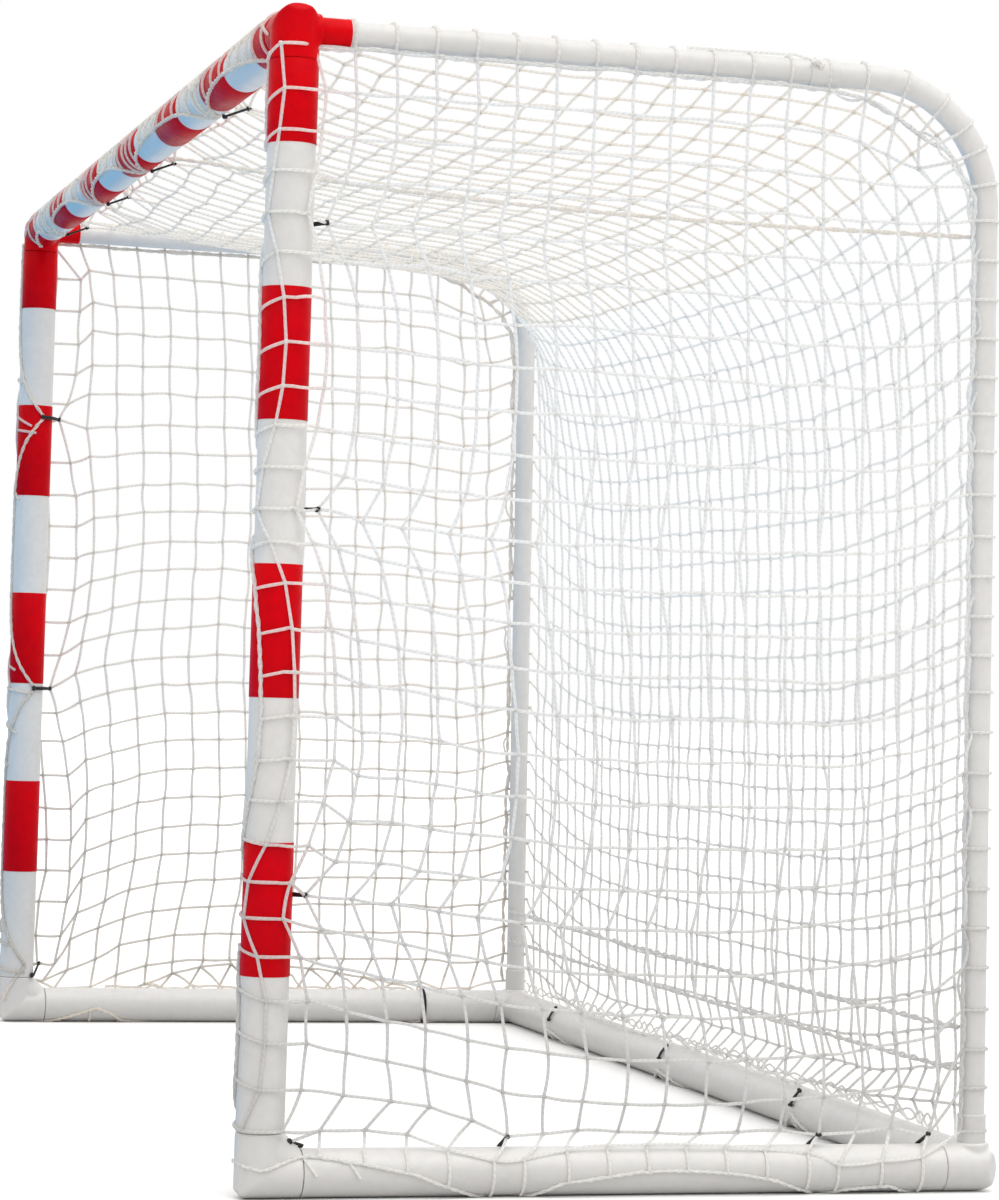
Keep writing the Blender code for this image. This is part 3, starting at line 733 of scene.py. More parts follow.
# %% Knots of a side panel
def first_guess(panel, side):
    """Knots on the panel's edges, and between them a surface that blends all four."""
    grid = np.zeros((ROWS + 1, COLUMNS + 1, 3))
    post, bar, low_first = panel["post"], panel["bar"], panel["low_first"]
    for j in range(ROWS + 1):
        grid[j, 0] = post.point(panel["first"][j], panel["height"][j])
        grid[j, 1] = post.point(panel["second"][j], panel["height"][j])
        grid[j, COLUMNS] = seam_point(side, panel["seam_side"][j])
    for i in range(1, COLUMNS + 1):
        grid[ROWS, i] = seam_point(side, panel["seam_top"][i - 1])
    for i in range(2, COLUMNS):
        grid[0, i] = bar.point(max(low_first[i], 0), panel["low_y"][i]) - (0, 0, min(low_first[i], 0))
    for j in range(1, ROWS):
        for i in range(2, COLUMNS):
            a, b = (i - 1) / (COLUMNS - 1), j / ROWS
            grid[j, i] = ((1 - a) * grid[j, 1] + a * grid[j, COLUMNS]
                          + (1 - b) * grid[0, i] + b * grid[ROWS, i]
                          - (1 - b) * ((1 - a) * grid[0, 1] + a * grid[0, COLUMNS])
                          - b * ((1 - a) * grid[ROWS, 1] + a * grid[ROWS, COLUMNS]))
    return grid


def side_knots(side):
    """Rows from the ground up, columns from the post back."""
    panel = panel_edges(side)
    grid, bar, low_y = first_guess(panel, side), panel["bar"], panel["low_y"]
    pinned = np.ones(grid.shape[:2], bool)
    pinned[1:ROWS, 2:COLUMNS] = False
    if side < 0:                                 # the lowest rows leave the bar, not the post
        grid[2, 1] = (-HALF - 0.015, -0.494, 0.082)
        grid[1, 2] = bar.point(0, -0.467)
        grid[1, 3] = bar.point(-0.008, -0.391)
        pinned[1, 2:4] = True
    for tie in POST_TIES[side][:3]:
        j = int(np.argmin(abs(panel["height"] - tie)))
        i = 2 if side > 0 else 1 if tie > 0.2 else 0
        grid[j, i], pinned[j, i] = tie_knot("post", tie, side), True
    for tie in GROUND_TIES[side][1:]:
        i = 2 + int(np.argmin(abs(low_y[2:-1] - tie)))
        j = 1 if side > 0 else 0
        grid[j, i], pinned[j, i] = tie_knot("ground", tie, side), True
    rest_u = MESH_BACK[side] * (1 + 0.025 * rng.normal(size=(ROWS + 1, COLUMNS)))
    rest_v = MESH_UP[side] * (1 + 0.025 * rng.normal(size=(ROWS, COLUMNS + 1)))
    if side > 0:
        rest_v[:6] *= 1.03
    panel["grid"] = hang(grid, pinned, rest_u, rest_v, rounds=260, fall=0.0012)
    return panel


# %% Knots of the roof and back, which hang as one
def long_knots(panels):
    """Rows from the crossbar back and down, columns from left to right."""
    x = np.linspace(-EDGE_X, EDGE_X, ACROSS + 1)
    bar = Wrap((0, FRONT, HIGH), (1, 0, 0), (0, 1, 0), (0, 0, 1), 70)
    rear = Wrap((0, REAR, LOW), (1, 0, 0), (0, 0, 1), (0, 1, 0), 35)
    tight = crossbar_pull(x)
    first = 0.034 + 0.050 * tight + 0.006 * drift(ACROSS + 1, 1.5)
    second = -0.0185 + 0.040 * tight + 0.006 * drift(ACROSS + 1, 1.5)
    slide = 0.006 * drift(ACROSS + 1, 1.2)
    for tie in BAR_TIES:
        slide += 0.5 * (tie - x) * np.exp(-((x - tie) / 0.11) ** 2)
    tight = pull(REAR_TIES, x, 0.08)
    low_hem = 0.085 + 0.072 * tight + 0.004 * drift(ACROSS + 1, 2)
    low_first = 0.010 + 0.03 * tight + 0.004 * drift(ACROSS + 1, 2)
    grid = np.zeros((TOTAL + 1, ACROSS + 1, 3))
    for side, column in ((1, ACROSS), (-1, 0)):
        runs = np.concatenate([[0], panels[side]["seam_top"], panels[side]["seam_side"][:-1][::-1]])
        for j in range(1, TOTAL + 1):
            y, z, out_y, out_z = bow_at(runs[j])
            grid[j, column] = (side * EDGE_X, y + BOW_WRAP * out_y, z + BOW_WRAP * out_z)
    share = np.linspace(0, 1, ACROSS + 1)[:, None]
    for j in range(2, TOTAL):
        grid[j] = (1 - share) * grid[j, 0] + share * grid[j, ACROSS]
    for m in range(ACROSS + 1):
        grid[0, m] = bar.point(first[m], x[m] + slide[m])
        grid[1, m] = bar.point(second[m], x[m])
        if 0 < m < ACROSS:
            grid[TOTAL, m] = rear.point(low_first[m], x[m])
    pinned = np.zeros(grid.shape[:2], bool)
    pinned[:2], pinned[TOTAL], pinned[:, 0], pinned[:, ACROSS] = True, True, True, True
    for kind, places, j in (("bar", BAR_TIES, 2), ("rear", REAR_TIES, TOTAL - 1)):
        for tie in places:
            m = int(np.argmin(abs(x - tie)))
            grid[j, m], pinned[j, m] = tie_knot(kind, tie), True
    rest_u = MESH_ACROSS * (1 + 0.02 * rng.normal(size=(TOTAL + 1, ACROSS)))
    rest_v = MESH_DOWN * (1 + 0.025 * rng.normal(size=(TOTAL, ACROSS + 1)))
    rest_v[0] = 0.06
    rest_v[COLUMNS:] *= 1.004
    grid = hang(grid, pinned, rest_u, rest_v, rounds=500, fall=0.0004)
    return dict(grid=grid, bar=bar, rear=rear, x=x, first=first, second=second, slide=slide,
                low_hem=low_hem, low_first=low_first)


panels = {side: side_knots(side) for side in (1, -1)}
long_net = long_knots(panels)
print("knots:", sum(p["grid"].shape[0] * p["grid"].shape[1] for p in (*panels.values(), long_net)))

# %% [markdown]
# ## The net: from knots to cords
# Each cord is a line through its knots. Between two knots it gets three more points a
# little off the straight, and where it lies on a tube it follows the tube's curve.
# All lines of a panel go into one mesh of edges, with the cord's thickness and the
# length so far kept on every point. Hems and seams are strands laid round one path.


# %% Lines of cord
CORD = 0.0024             # radius of the net's cord
LEFT_CORD = CORD * 1.12   # the left panel's cord is fluffier
FINE = CORD * 0.8         # radius of a slack cord that is drawn thin
ROPE = 0.0023             # radius of each of the hem's two strands


def through(knots, loose=0.0012):
    """Points through the knots, a little off the straight between them."""
    out = [knots[0]]
    for a, b in zip(knots, knots[1:]):
        swing = rng.normal(size=3) * loose
        out += [a + (b - a) * t + swing * math.sin(math.pi * t) for t in (0.25, 0.5, 0.75)] + [b]
    return out


def over_bow(side, run, end):
    """Round a bow's outer face, from the seam inside it to the edge of the roof or back."""
    y, z, out_y, out_z = bow_at(run)
    points = []
    for degrees in (140, 115, 90, 65, 40, 15):
        c, s = BOW_WRAP * math.cos(math.radians(degrees)), BOW_WRAP * math.sin(math.radians(degrees))
        points.append(np.array([side * (HALF + s), y + c * out_y, z + c * out_z]))
    return points + [end]


def run_along(points):
    steps = np.linalg.norm(np.diff(points, axis=0), axis=1)
    return np.concatenate([[0], np.cumsum(steps)])


class Lines:
    """Collects cords as edges with a thickness, a length so far and a knot mark."""

    def __init__(self):
        self.points, self.edges, self.radius, self.along, self.knot = [], [], [], [], []

    def cord(self, points, radius, knots=()):
        points = np.array(points)
        points[:, 2] = np.maximum(points[:, 2], radius)      # cord under a bar lies on the floor
        start, run = len(self.points), run_along(points)
        self.points += [tuple(p) for p in points]
        self.edges += [(start + k, start + k + 1) for k in range(len(points) - 1)]
        self.radius += [radius * (1 + 0.06 * math.sin(90 * r + 7 * start)) for r in run]
        self.along += list(run)
        marks = {tuple(np.round(k, 6)) for k in knots}
        self.knot += [1.0 if tuple(np.round(p, 6)) in marks else 0.0 for p in points]

    def twisted(self, points, strands, offset, pitch, radius):
        """Strands laid round one path, as in a hem rope or a gathered seam."""
        points = np.array(points)
        run = run_along(points)
        fine = np.arange(0, run[-1], 0.006)
        path = np.stack([np.interp(fine, run, points[:, k]) for k in range(3)], 1)
        along = np.gradient(path, axis=0)
        along /= np.linalg.norm(along, axis=1, keepdims=True) + 1e-9
        across = np.cross(along, [0.3, 0.2, 0.93])
        across /= np.linalg.norm(across, axis=1, keepdims=True) + 1e-9
        lift = np.cross(along, across)
        for strand in range(strands):
            turn = 2 * math.pi * (fine / pitch + strand / strands)
            reach = offset * (1 + 0.3 * np.interp(fine, fine, drift(len(fine), 5)))
            sideways, upwards = reach * np.cos(turn), reach * np.sin(turn)
            self.cord(path + sideways[:, None] * across + upwards[:, None] * lift, radius)


print("cord and hem strand:", 2000 * CORD, "and", 2000 * ROPE, "mm thick")

# %% Meshes of the side panels
# How far above its row a cord of the right panel meets the hem: height, lift
HEM_LIFT = ((0, 0.1, 0.2, 0.45, 0.6, 0.75, 1.0, 1.4, 1.7),
            (0, 0.012, 0.015, 0.013, -0.002, -0.008, -0.012, -0.022, -0.030))
BAR_ROWS = 3                                     # rows of the left panel that leave the bar


def panel_rows(lines, side, panel, edge, cord):
    """From the hem round the post, back to the bow and over it."""
    grid, post = panel["grid"], panel["post"]
    for j in range(ROWS + 1):
        z, start, hem = panel["height"][j], panel["first"][j], panel["hem"][j]
        droop = 0.012 + 0.02 * abs(rng.normal())
        end = z + np.interp(z, *HEM_LIFT) if side > 0 else z - droop * (hem > 0.07)
        if side < 0 and j < BAR_ROWS:
            path = through(list(grid[j, 1:]))
        else:
            path = post.path(hem, end, max(start, 0), z)
            if start > 0:
                path += post.path(start, z, 0.0, z)[1:]
            path += through([*path[-1:], *([grid[j, 0]] if start < 0 else []), *grid[j, 1:]])[1:]
        path += over_bow(side, panel["seam_side"][j], edge[TOTAL - j])
        lines.cord(path, cord, grid[j, :COLUMNS])


def panel_columns(lines, side, panel, edge, cord):
    """From the hem under the ground bar up to the top tube and over it."""
    for i in range(1, COLUMNS):
        path = through(list(panel["grid"][:, i])) + over_bow(side, panel["seam_top"][i - 1], edge[i])
        if i > 1:
            start = max(panel["low_first"][i], 0)
            y = panel["low_y"][i] - (0.028 if side < 0 and start == 0 else 0)
            path = panel["bar"].path(panel["low_hem"][i], y, start, y) + path
        lines.cord(path, cord)
    path = panel["post"].chain(panel["first"], panel["height"])
    lines.cord([*path, panel["grid"][ROWS, 0]], cord)


# %% Hems, seams and loose cords of the side panels
def right_foot_cords(lines, panel):
    """Two short cords under the hem and one from the tie at the foot."""
    for y, s0, s1 in ((-0.492, 0.010, 0.036), (-0.428, 0.014, 0.040)):
        lines.cord(panel["bar"].path(s0, y, s1, y + 0.018), FINE)
    knot = tie_knot("foot", GROUND_TIES[1][0]) + (0, 0.004, 0)
    lines.cord(through([knot, panel["grid"][0, 2]]), CORD)


def left_slack(lines, panel, height, hem):
    """A slack cord down the post, and slack meshes as flat diamonds on the ground bar."""
    grid, post, bar = panel["grid"], panel["post"], panel["bar"]
    between = (hem + np.interp(height, panel["height"], panel["first"])) / 2
    lines.cord([post.point(s, z) for s, z in zip(between[::4], height[::4])], LEFT_CORD)
    for i in range(4, COLUMNS - 3):
        low = np.array(bar.point(0, panel["low_y"][i] + 0.052))
        middle = (grid[0, i] + low) / 2 + (0, 0, 0.004)
        lines.cord(through([grid[0, i], middle, low]), LEFT_CORD)
    ys = np.linspace(-0.36, 0.30, 40)
    lines.cord([(-HALF - 0.012, y, 0.0715 + 0.0022 * rng.normal()) for y in ys], LEFT_CORD)


def right_top_strand(lines):
    """A loose strand on the near top tube, with the knot that ends it."""
    ys = np.linspace(0.04, 0.235, 24)
    zs = HIGH + 0.0215 + np.interp(ys, (0.04, 0.14, 0.21, 0.235), (0.0, 0.001, 0.003, -0.004))
    lines.cord([(HALF + 0.004 + 0.05 * max(y - 0.2, 0), y, z) for y, z in zip(ys, zs)], ROPE)
    knot = [(HALF + 0.0225, 0.232 + 0.02 * t, HIGH + 0.016 - 0.012 * t) for t in np.linspace(0, 1, 5)]
    lines.twisted(knot, 3, 0.0035, 0.02, ROPE)


def side_lines(side):
    lines, panel = Lines(), panels[side]
    grid, post, bar = panel["grid"], panel["post"], panel["bar"]
    edge = long_net["grid"][:, ACROSS if side > 0 else 0]
    cord = CORD if side > 0 else LEFT_CORD
    panel_rows(lines, side, panel, edge, cord)
    panel_columns(lines, side, panel, edge, cord)
    low_y = np.linspace(0.50, -0.515, 170)
    path = [bar.point(s, y) for s, y in zip(np.interp(low_y, *LOW_HEM[side].T), low_y)]
    if side > 0:
        right_foot_cords(lines, panel)
    corner = ((-0.004, 0.046), (0.010, 0.043), (0.035, 0.048), (0.07, 0.052), (0.10, 0.05))
    lines.twisted(path + [post.point(s, z) for s, z in corner], 2, 0.0012, 0.03, ROPE * 0.8)
    height = np.linspace(panel["height"][0] - 0.03, panel["height"][-1], 260)
    hem = np.interp(height, panel["height"], panel["hem"]) if side > 0 else left_post_hem(height)
    if side < 0:
        left_slack(lines, panel, height, hem)
    lines.twisted([post.point(s, z) for s, z in zip(hem, height)], 2, 0.0012, 0.04, ROPE)
    if side > 0:
        right_top_strand(lines)
    seam = list(grid[:, COLUMNS]) + list(grid[ROWS, 1:COLUMNS][::-1])
    lines.twisted(through(seam, 0.002), 2, 0.0018, 0.05, ROPE * 0.9)
    lines.twisted(through(seam[3:ROWS + 5], 0.006), 1, 0.0045, 0.11, ROPE * 0.9)
    return lines


# %% Cords of roof and back
def straight_ropes(roof, ropes):
    """The seam that hangs under the roof, and two doubled rows drawn across the back."""
    start, end = np.array((0.0, FRONT + 0.05, HIGH - 0.01)), np.array((EDGE_X, 0.507, 1.437))
    seam = [start + (end - start) * t - (0, 0, 0.02 * math.sin(math.pi * t)) for t in np.linspace(0, 1, 60)]
    roof.twisted(seam, 2, 0.0018, 0.06, ROPE)
    for z in (0.180, 0.243):
        row = [(x, 0.523, z - 0.006 * math.cos(1.27 * x)) for x in np.linspace(-1.22, 1.225, 80)]
        ropes.twisted(row, 2, 0.0024, 0.09, CORD)


def slack_chain(ropes):
    """Slack meshes gathered along the top of the rear bar, as a chain of small loops."""
    xs = np.arange(-1.12, 1.10, 0.0055)
    open_up = (0.35 + 0.65 * np.abs(np.sin(7 * xs))) * (1 - 0.7 * pull(REAR_TIES, xs, 0.05))
    swing = xs * math.pi / 0.046 + 1.1 * np.sin(17 * xs) + 0.6 * np.sin(41 * xs)
    for phase in (0, math.pi):
        zs = 0.086 + 0.010 * open_up * np.sin(swing + phase)
        ropes.cord([(x, REAR - 0.008, z) for x, z in zip(xs, zs)], FINE)


def long_lines():
    roof, back, ropes = Lines(), Lines(), Lines()
    grid, bar, rear, x = long_net["grid"], long_net["bar"], long_net["rear"], long_net["x"]
    first, second, slide = long_net["first"], long_net["second"], long_net["slide"]
    low_first, low_hem = long_net["low_first"], long_net["low_hem"]
    shifted = x + slide
    for j in range(1, TOTAL):
        (roof if j <= COLUMNS else back).cord(through(list(grid[j])), CORD, grid[j])
    roof.cord(bar.chain(first, shifted), CORD)
    xs = np.linspace(-1.19, 1.19, 400)
    hem = 0.080 + 0.060 * crossbar_pull(xs)
    roof.twisted([bar.point(s, t) for s, t in zip(hem, xs)], 2, 0.0014, 0.04, ROPE)
    straight_ropes(roof, ropes)
    for m in range(1, ACROSS):
        near = x[m] + 1.5 * slide[m]
        path = bar.path(np.interp(near, xs, hem), near, first[m], shifted[m])[:-1]
        path += bar.path(first[m], shifted[m], second[m], x[m])[:-1]
        roof.cord(path + through(list(grid[1:COLUMNS + 1, m])), CORD)
        tail = rear.path(low_first[m], x[m], low_hem[m], x[m])
        back.cord(through(list(grid[COLUMNS:, m])) + tail[1:], CORD)
    ropes.twisted(rear.chain(low_hem, x), 2, 0.0014, 0.04, ROPE)
    slack_chain(ropes)
    return roof, back, ropes


net_lines = {"right_side_net_cords": side_lines(1), "left_side_net_cords": side_lines(-1)}
for name, lines in zip(("roof_net_cords", "back_net_cords", "back_net_ropes"), long_lines()):
    net_lines[name] = lines
print({name: len(lines.points) for name, lines in net_lines.items()})

# %% [markdown]
# ## Twine
# The net is twisted twine of about 5 mm, off-white, dull and slightly hairy. Its twist
# runs round the cord, so the pattern needs to know how far along the cord a point is
# and where round it. Both are stored as attributes when the cord is made. Thin white
# fibres let light through, so each cord glows a little on its shaded side. The hanging
# net is greyer towards the ground, a painted shade. The roof has a warmer copy of the
# same twine, a painted warm light, and the left panel a darker, warmer copy, a painted shade.


# %% Twine material
TWIST = 0.009             # length of cord in which the strands make one turn


def twine(name, base, shade):
    material, tree, shader = new_material(name)
    along, round_c, round_s = (add(tree, "ShaderNodeAttribute", attribute_name=label).outputs["Fac"]
                               for label in ("along", "round_c", "round_s"))
    angle = add(tree, "ShaderNodeMath", {0: along, 1: 2 * math.pi / TWIST}, operation="MULTIPLY")
    sine = add(tree, "ShaderNodeMath", {0: angle}, operation="SINE")
    cosine = add(tree, "ShaderNodeMath", {0: angle}, operation="COSINE")
    one = add(tree, "ShaderNodeMath", {0: sine, 1: round_c}, operation="MULTIPLY")
    twist = add(tree, "ShaderNodeMath", {0: cosine, 1: round_s, 2: one}, operation="MULTIPLY_ADD")
    place = add(tree, "ShaderNodeTexCoord").outputs["Object"]
    fuzz = add(tree, "ShaderNodeTexNoise", {"Vector": place, "Scale": 350.0, "Detail": 3.0})
    height = add(tree, "ShaderNodeMath", {0: twist, 1: 0.35, 2: fuzz}, operation="MULTIPLY_ADD")
    # The colour follows the twist's relief: its grooves are painted darker as painted shade, and the fuzz
    # noise adds random tone
    ramp = add(tree, "ShaderNodeValToRGB", {"Fac": height})
    ramp.color_ramp.elements[0].position = 0.15
    ramp.color_ramp.elements[0].color = colour(shade)
    ramp.color_ramp.elements[1].position = 0.75
    ramp.color_ramp.elements[1].color = colour(base)
    # Painted shade: the hanging net is mixed towards grey, more towards the ground, but not where it lies on
    # the bars
    above = add(tree, "ShaderNodeSeparateXYZ", {0: place}).outputs["Z"]
    low = add(tree, "ShaderNodeMapRange", {"Value": above, "From Min": 1.0, "From Max": 0.1, "To Max": 0.28},
              interpolation_type="SMOOTHSTEP")
    hung = add(tree, "ShaderNodeMapRange", {"Value": above, "From Min": 0.076, "From Max": 0.10})
    low = add(tree, "ShaderNodeMath", {0: low, 1: hung}, operation="MULTIPLY")
    grey = add(tree, "ShaderNodeMix", {"Factor": low, "A": ramp, "B": colour("BAB9B7")}, data_type="RGBA")
    join(tree, grey, shader.inputs["Base Color"])
    bump = add(tree, "ShaderNodeBump", {"Height": height, "Strength": 0.2, "Distance": 0.0005})
    join(tree, bump, shader.inputs["Normal"])
    shader.inputs["Roughness"].default_value = 0.85
    shader.inputs["Specular IOR Level"].default_value = 0.2
    glow = add(tree, "ShaderNodeBsdfTranslucent", {"Color": grey, "Normal": bump})
    both = add(tree, "ShaderNodeMixShader", {0: 0.64, 1: shader, 2: glow})
    join(tree, both, tree.nodes["Material Output"].inputs["Surface"])
    return material


twine_white = twine("twisted_white_twine", "FDFDFC", "F4F3F1")
# A warmer copy for the roof, as painted warm light, and a darker, warmer copy for the left panel, as painted
# shade
twine_painted_warm_light = twine("twisted_twine_painted_warm_light", "FDFAF5", "F6F1EA")
twine_painted_shade = twine("twisted_twine_painted_shade", "FBF7F2", "F4F0EA")
print("twines:", twine_white.name, twine_painted_warm_light.name, twine_painted_shade.name)

# %% [markdown]
# ## Cords with Geometry Nodes
# Sweeping a circle along thousands of edges is what Geometry Nodes are for. The tree
# turns edges to curves, gives them their thickness, and sweeps a small polygon along
# them. A second branch sets a knot, a small lumpy ball turned at random, on each point
# that carries one. The tree ends in real geometry with its material.


# %% Tree for cords and knots
def cord_tree():
    tree = bpy.data.node_groups.new("cords_and_knots", "GeometryNodeTree")
    sockets = {}
    for label, kind, default in (("Geometry", "NodeSocketGeometry", None), ("Sides", "NodeSocketInt", 6),
                                 ("Knot radius", "NodeSocketFloat", 0.0040), ("Seed", "NodeSocketInt", 3),
                                 ("Material", "NodeSocketMaterial", None)):
        sockets[label] = tree.interface.new_socket(label, in_out="INPUT", socket_type=kind)
        if default is not None:
            sockets[label].default_value = default
    tree.interface.new_socket("Geometry", in_out="OUTPUT", socket_type="NodeSocketGeometry")
    given = add(tree, "NodeGroupInput").outputs
    radius = add(tree, "GeometryNodeInputNamedAttribute", {"Name": "cord_radius"}, data_type="FLOAT")
    curve = add(tree, "GeometryNodeMeshToCurve", {"Mesh": given["Geometry"]})
    profile = add(tree, "GeometryNodeCurvePrimitiveCircle", {"Resolution": given["Sides"], "Radius": 1.0})
    place = add(tree, "GeometryNodeSplineParameter").outputs["Factor"]
    angle = add(tree, "ShaderNodeMath", {0: place, 1: 2 * math.pi}, operation="MULTIPLY")
    for label, operation in (("round_c", "COSINE"), ("round_s", "SINE")):
        value = add(tree, "ShaderNodeMath", {0: angle}, operation=operation)
        profile = add(tree, "GeometryNodeStoreNamedAttribute",
                      {"Geometry": profile, "Value": value, "Name": label},
                      data_type="FLOAT", domain="POINT")
    sweep = add(tree, "GeometryNodeCurveToMesh",
                {"Curve": curve, "Profile Curve": profile, "Scale": radius, "Fill Caps": True})
    knot = add(tree, "GeometryNodeInputNamedAttribute", {"Name": "knot"}, data_type="FLOAT")
    is_knot = add(tree, "FunctionNodeCompare", {0: knot, 1: 0.5},
                  data_type="FLOAT", operation="GREATER_THAN")
    ball = add(tree, "GeometryNodeMeshUVSphere", {"Segments": 7, "Rings": 5, "Radius": 1.0})
    turned = add(tree, "FunctionNodeRandomValue", {"Seed": given["Seed"], 1: (6.28, 6.28, 6.28)},
                 data_type="FLOAT_VECTOR")
    size = add(tree, "FunctionNodeRandomValue",
               {"Seed": given["Seed"], 0: (0.75, 0.75, 0.85), 1: (1.0, 1.0, 1.25)}, data_type="FLOAT_VECTOR")
    scaled = add(tree, "ShaderNodeVectorMath", {0: size, "Scale": given["Knot radius"]}, operation="SCALE")
    set_knots = add(tree, "GeometryNodeInstanceOnPoints",
                    {"Points": given["Geometry"], "Selection": is_knot, "Instance": ball,
                     "Rotation": turned, "Scale": scaled})
    both = add(tree, "GeometryNodeJoinGeometry")
    join(tree, set_knots, both.inputs[0])
    join(tree, sweep, both.inputs[0])
    real = add(tree, "GeometryNodeRealizeInstances", {"Geometry": both})
    smooth = add(tree, "GeometryNodeSetShadeSmooth", {"Geometry": real})
    finish = add(tree, "GeometryNodeSetMaterial", {"Geometry": smooth, "Material": given["Material"]})
    add(tree, "NodeGroupOutput", {0: finish})
    return tree, {label: socket.identifier for label, socket in sockets.items()}


cords, inputs = cord_tree()
print("tree:", len(cords.nodes), "nodes")


# %% Sweep the cords
def sweep_lines(name, lines, material, knot_radius=0.0040, sides=6, seed=3):
    """Run the tree on a mesh of lines and keep the result as a plain mesh."""
    thing = mesh_object(name, lines.points, [], material, lines.edges)
    for label, values in (("cord_radius", lines.radius), ("along", lines.along), ("knot", lines.knot)):
        attribute = thing.data.attributes.new(label, "FLOAT", "POINT")
        attribute.data.foreach_set("value", np.array(values, np.float32))
    modifier = thing.modifiers.new("cords", "NODES")
    modifier.node_group = cords
    for label, value in (("Sides", sides), ("Knot radius", knot_radius), ("Seed", seed),
                         ("Material", material)):
        modifier[inputs[label]] = value
    graph = bpy.context.evaluated_depsgraph_get()
    mesh = bpy.data.meshes.new_from_object(thing.evaluated_get(graph), preserve_all_data_layers=True,
                                           depsgraph=graph)
    thing.modifiers.clear()
    thing.data = mesh
    mesh.name = name
    return thing


# The roof's twine carries painted warm light, the left panel's painted shade
twines = {"roof_net_cords": twine_painted_warm_light, "left_side_net_cords": twine_painted_shade}
for name, lines in net_lines.items():
    thing = sweep_lines(name, lines, twines.get(name, twine_white), sides=7)
    piece(thing, "net_cord", name.rsplit("_", 1)[0])
    print(name, sum(len(p.vertices) - 2 for p in thing.data.polygons), "triangles")

# %% [markdown]
# ## Elastic ties
# Each tie is a short loop of black elastic with a knot at both ends. It grips the
# net's edge on one side of the tube and the first row of meshes on the other.


# %% Elastic material
RIB = 0.0016              # one rib of the braided cover, drawn coarse enough to show


def elastic(name):
    material, tree, shader = new_material(name)
    along = add(tree, "ShaderNodeAttribute", attribute_name="along").outputs["Fac"]
    ribs = add(tree, "ShaderNodeMath", {0: along, 1: 2 * math.pi / RIB}, operation="MULTIPLY")
    wave = add(tree, "ShaderNodeMath", {0: ribs}, operation="SINE")
    # The ribs' grooves are painted darker than their crowns: painted shade
    ramp = add(tree, "ShaderNodeValToRGB", {"Fac": wave})
    ramp.color_ramp.elements[0].color = colour("121113")
    ramp.color_ramp.elements[1].color = colour("2A292C")
    join(tree, ramp, shader.inputs["Base Color"])
    bump = add(tree, "ShaderNodeBump", {"Height": wave, "Strength": 0.5, "Distance": 0.0004})
    join(tree, bump, shader.inputs["Normal"])
    shader.inputs["Roughness"].default_value = 0.6
    return material


print("ribs in 10 mm of elastic:", round(0.01 / RIB, 1))

# %% Nineteen ties from one rule
TIE = 0.0019                                     # radius of the elastic
TIE_RING = TUBE + 0.0026 + TIE                   # from a tube's axis to the elastic on it


def add_tie(lines, centre, along, face, turns, knot):
    """A doubled cord, part of a turn round the tube and then straight to its knot."""
    aside = along.cross(face)
    for offset in (-TIE, TIE):
        points = []
        for t in np.linspace(*turns, 12):
            out = math.cos(2 * math.pi * t) * face + math.sin(2 * math.pi * t) * aside
            points.append(np.array(centre + TIE_RING * out + offset * along))
        end = np.array(knot) + offset * 0.5 * np.array(along)
        points += [points[-1] + (end - points[-1]) * t for t in (0.33, 0.66, 1)]
        lines.cord(points, TIE, [points[0], end])


ties = Lines()
for x in BAR_TIES:
    add_tie(ties, Vector((x, FRONT, HIGH)), X, -Z, (0.066, 0.080), tie_knot("bar", x))
for x in REAR_TIES:
    add_tie(ties, Vector((x, REAR, LOW)), X, -Y, (-0.040, -0.12), tie_knot("rear_end", x))
for side in (1, -1):
    for z in POST_TIES[side][:3]:
        knot, start = tie_knot("post", z, side), 0.205
        if z == 0.12:                            # the left foot's, which slants up from the corner
            z, knot, start = 0.098, knot - (0, 0.004, 0), 0.12
        add_tie(ties, Vector((side * HALF, FRONT, z)), Z, Y, (start * side, 0.09 * side), knot)
    for y in GROUND_TIES[side] if side > 0 else GROUND_TIES[side][1:]:
        knot = tie_knot("foot" if y < -0.48 else "ground", y, side)
        add_tie(ties, Vector((side * HALF, y, LOW)), Y, -side * X, (-0.14 * side, 0.20 * side), knot)
thing = sweep_lines("elastic_ties", ties, elastic("braided_black_elastic"), knot_radius=0.0042, sides=8)
piece(thing, "black_elastic", *[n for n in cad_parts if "_tie_" in n])
print("tie knots:", int(sum(ties.knot)))

# %% [markdown]
# ## Floor, light and background
# The floor is white to the camera and keeps the goal's shadow. The crossbar's underside
# is bluish in the photograph, as over a blue court, so the ground in front of the mouth
# gives light of that colour. Under the net, round the left post's foot and everywhere
# else it is a neutral grey. An overcast sky lights the rest, with a soft sun in it.

# %% Floor
floor_mesh = bpy.data.meshes.new("floor")
floor_mesh.from_pydata([(-60, -60, 0), (60, -60, 0), (60, 60, 0), (-60, 60, 0)], [], [(0, 1, 2, 3)])
floor = bpy.data.objects.new("floor", floor_mesh)
floor.location.z = -0.0005
bpy.context.scene.collection.objects.link(floor)
material, tree, shader = new_material("pale_floor")
place = add(tree, "ShaderNodeTexCoord").outputs["Object"]
where = add(tree, "ShaderNodeSeparateXYZ", {0: place}).outputs
ahead = add(tree, "ShaderNodeMapRange",
            {"Value": where["Y"], "From Min": FRONT + 0.45, "From Max": FRONT + 0.05},
            interpolation_type="SMOOTHSTEP")
within = add(tree, "ShaderNodeMapRange",
             {"Value": where["X"], "From Min": HALF - 0.05, "From Max": HALF - 0.45},
             interpolation_type="SMOOTHSTEP")
away = add(tree, "ShaderNodeVectorMath", {0: place, 1: (-HALF, FRONT, 0)}, operation="DISTANCE")
beyond = add(tree, "ShaderNodeMapRange", {"Value": away, "From Min": 0.35, "From Max": 0.85},
             interpolation_type="SMOOTHSTEP")
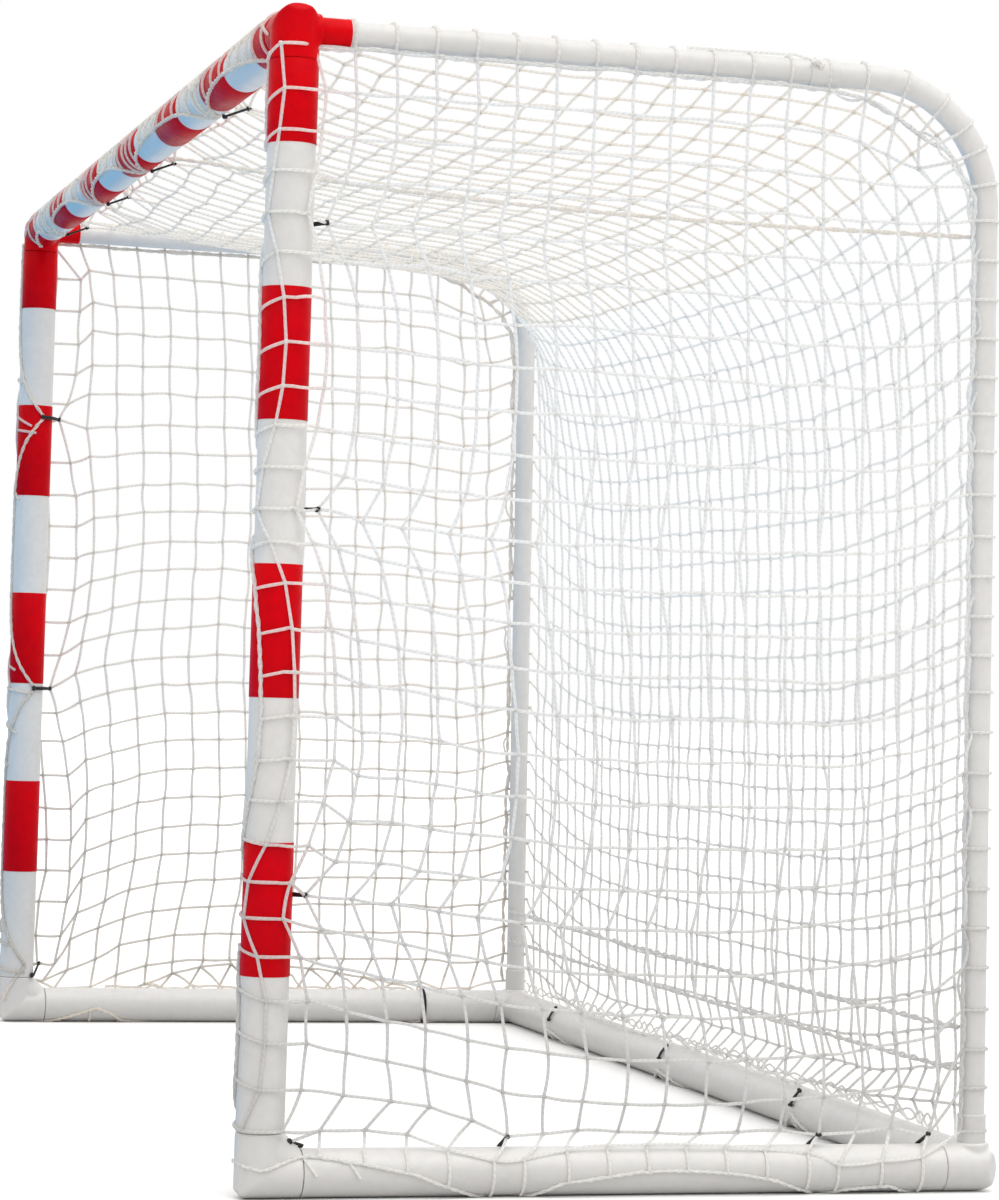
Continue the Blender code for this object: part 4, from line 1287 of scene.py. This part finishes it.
zone = add(tree, "ShaderNodeMath", {0: ahead, 1: within}, operation="MULTIPLY")
zone = add(tree, "ShaderNodeMath", {0: zone, 1: beyond}, operation="MULTIPLY")
court = add(tree, "ShaderNodeValToRGB", {"Fac": zone})
court.color_ramp.elements[0].color = (0.71, 0.71, 0.71, 1)       # neutral grey
court.color_ramp.elements[1].color = (0.01, 0.34, 0.70, 1)       # the court's blue
to_camera = add(tree, "ShaderNodeLightPath").outputs["Is Camera Ray"]
bounce = add(tree, "ShaderNodeBsdfDiffuse", {"Color": court})
seen = add(tree, "ShaderNodeBsdfDiffuse", {"Color": (0.97, 0.97, 0.97, 1)})
both = add(tree, "ShaderNodeMixShader", {0: to_camera, 1: bounce, 2: seen})
join(tree, both, tree.nodes["Material Output"].inputs["Surface"])
tree.nodes.remove(shader)
floor_mesh.materials.append(material)
floor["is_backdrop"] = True
print("floor:", floor.name)

# %% World and lamps
world = bpy.data.worlds.new("studio")
bpy.context.scene.world = world
world.use_nodes = True
tree = world.node_tree
rays = add(tree, "ShaderNodeLightPath").outputs
seen = add(tree, "ShaderNodeMath", {0: rays["Is Camera Ray"], 1: rays["Is Glossy Ray"]}, operation="MAXIMUM")
seen = add(tree, "ShaderNodeMath", {0: seen, 1: rays["Is Transmission Ray"]}, operation="MAXIMUM")
# An overcast sky is brighter overhead than at the horizon
heading = add(tree, "ShaderNodeTexCoord").outputs["Generated"]
height = add(tree, "ShaderNodeSeparateXYZ", {0: heading}).outputs["Z"]
sky = add(tree, "ShaderNodeMapRange",
          {"Value": height, "From Min": 0.0, "From Max": 0.8, "To Min": 0.52, "To Max": 1.22},
          interpolation_type="SMOOTHSTEP")
strength = add(tree, "ShaderNodeMix", {"Factor": seen, "A": sky, "B": 1.0}, data_type="FLOAT")
tint = add(tree, "ShaderNodeMix", {"Factor": seen, "A": (1.0, 0.985, 0.972, 1), "B": (1, 1, 1, 1)},
           data_type="RGBA")
background = tree.nodes["Background"]
join(tree, tint, background.inputs["Color"])
join(tree, strength, background.inputs["Strength"])

sun = bpy.data.objects.new("soft_sun", bpy.data.lights.new("soft_sun", "SUN"))
sun.data.energy = 1.0
sun.data.color = (1.0, 0.985, 0.97)
sun.data.angle = math.radians(50)
sun.rotation_euler = (math.radians(28), 0, math.radians(115))
bpy.context.scene.collection.objects.link(sun)
bpy.context.scene.view_settings.view_transform = "Standard"
print("lights:", sun.name, world.name)

# %% Sizes of the finished object
low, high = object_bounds()
print("visual size:", [round(v, 3) for v in high - low])
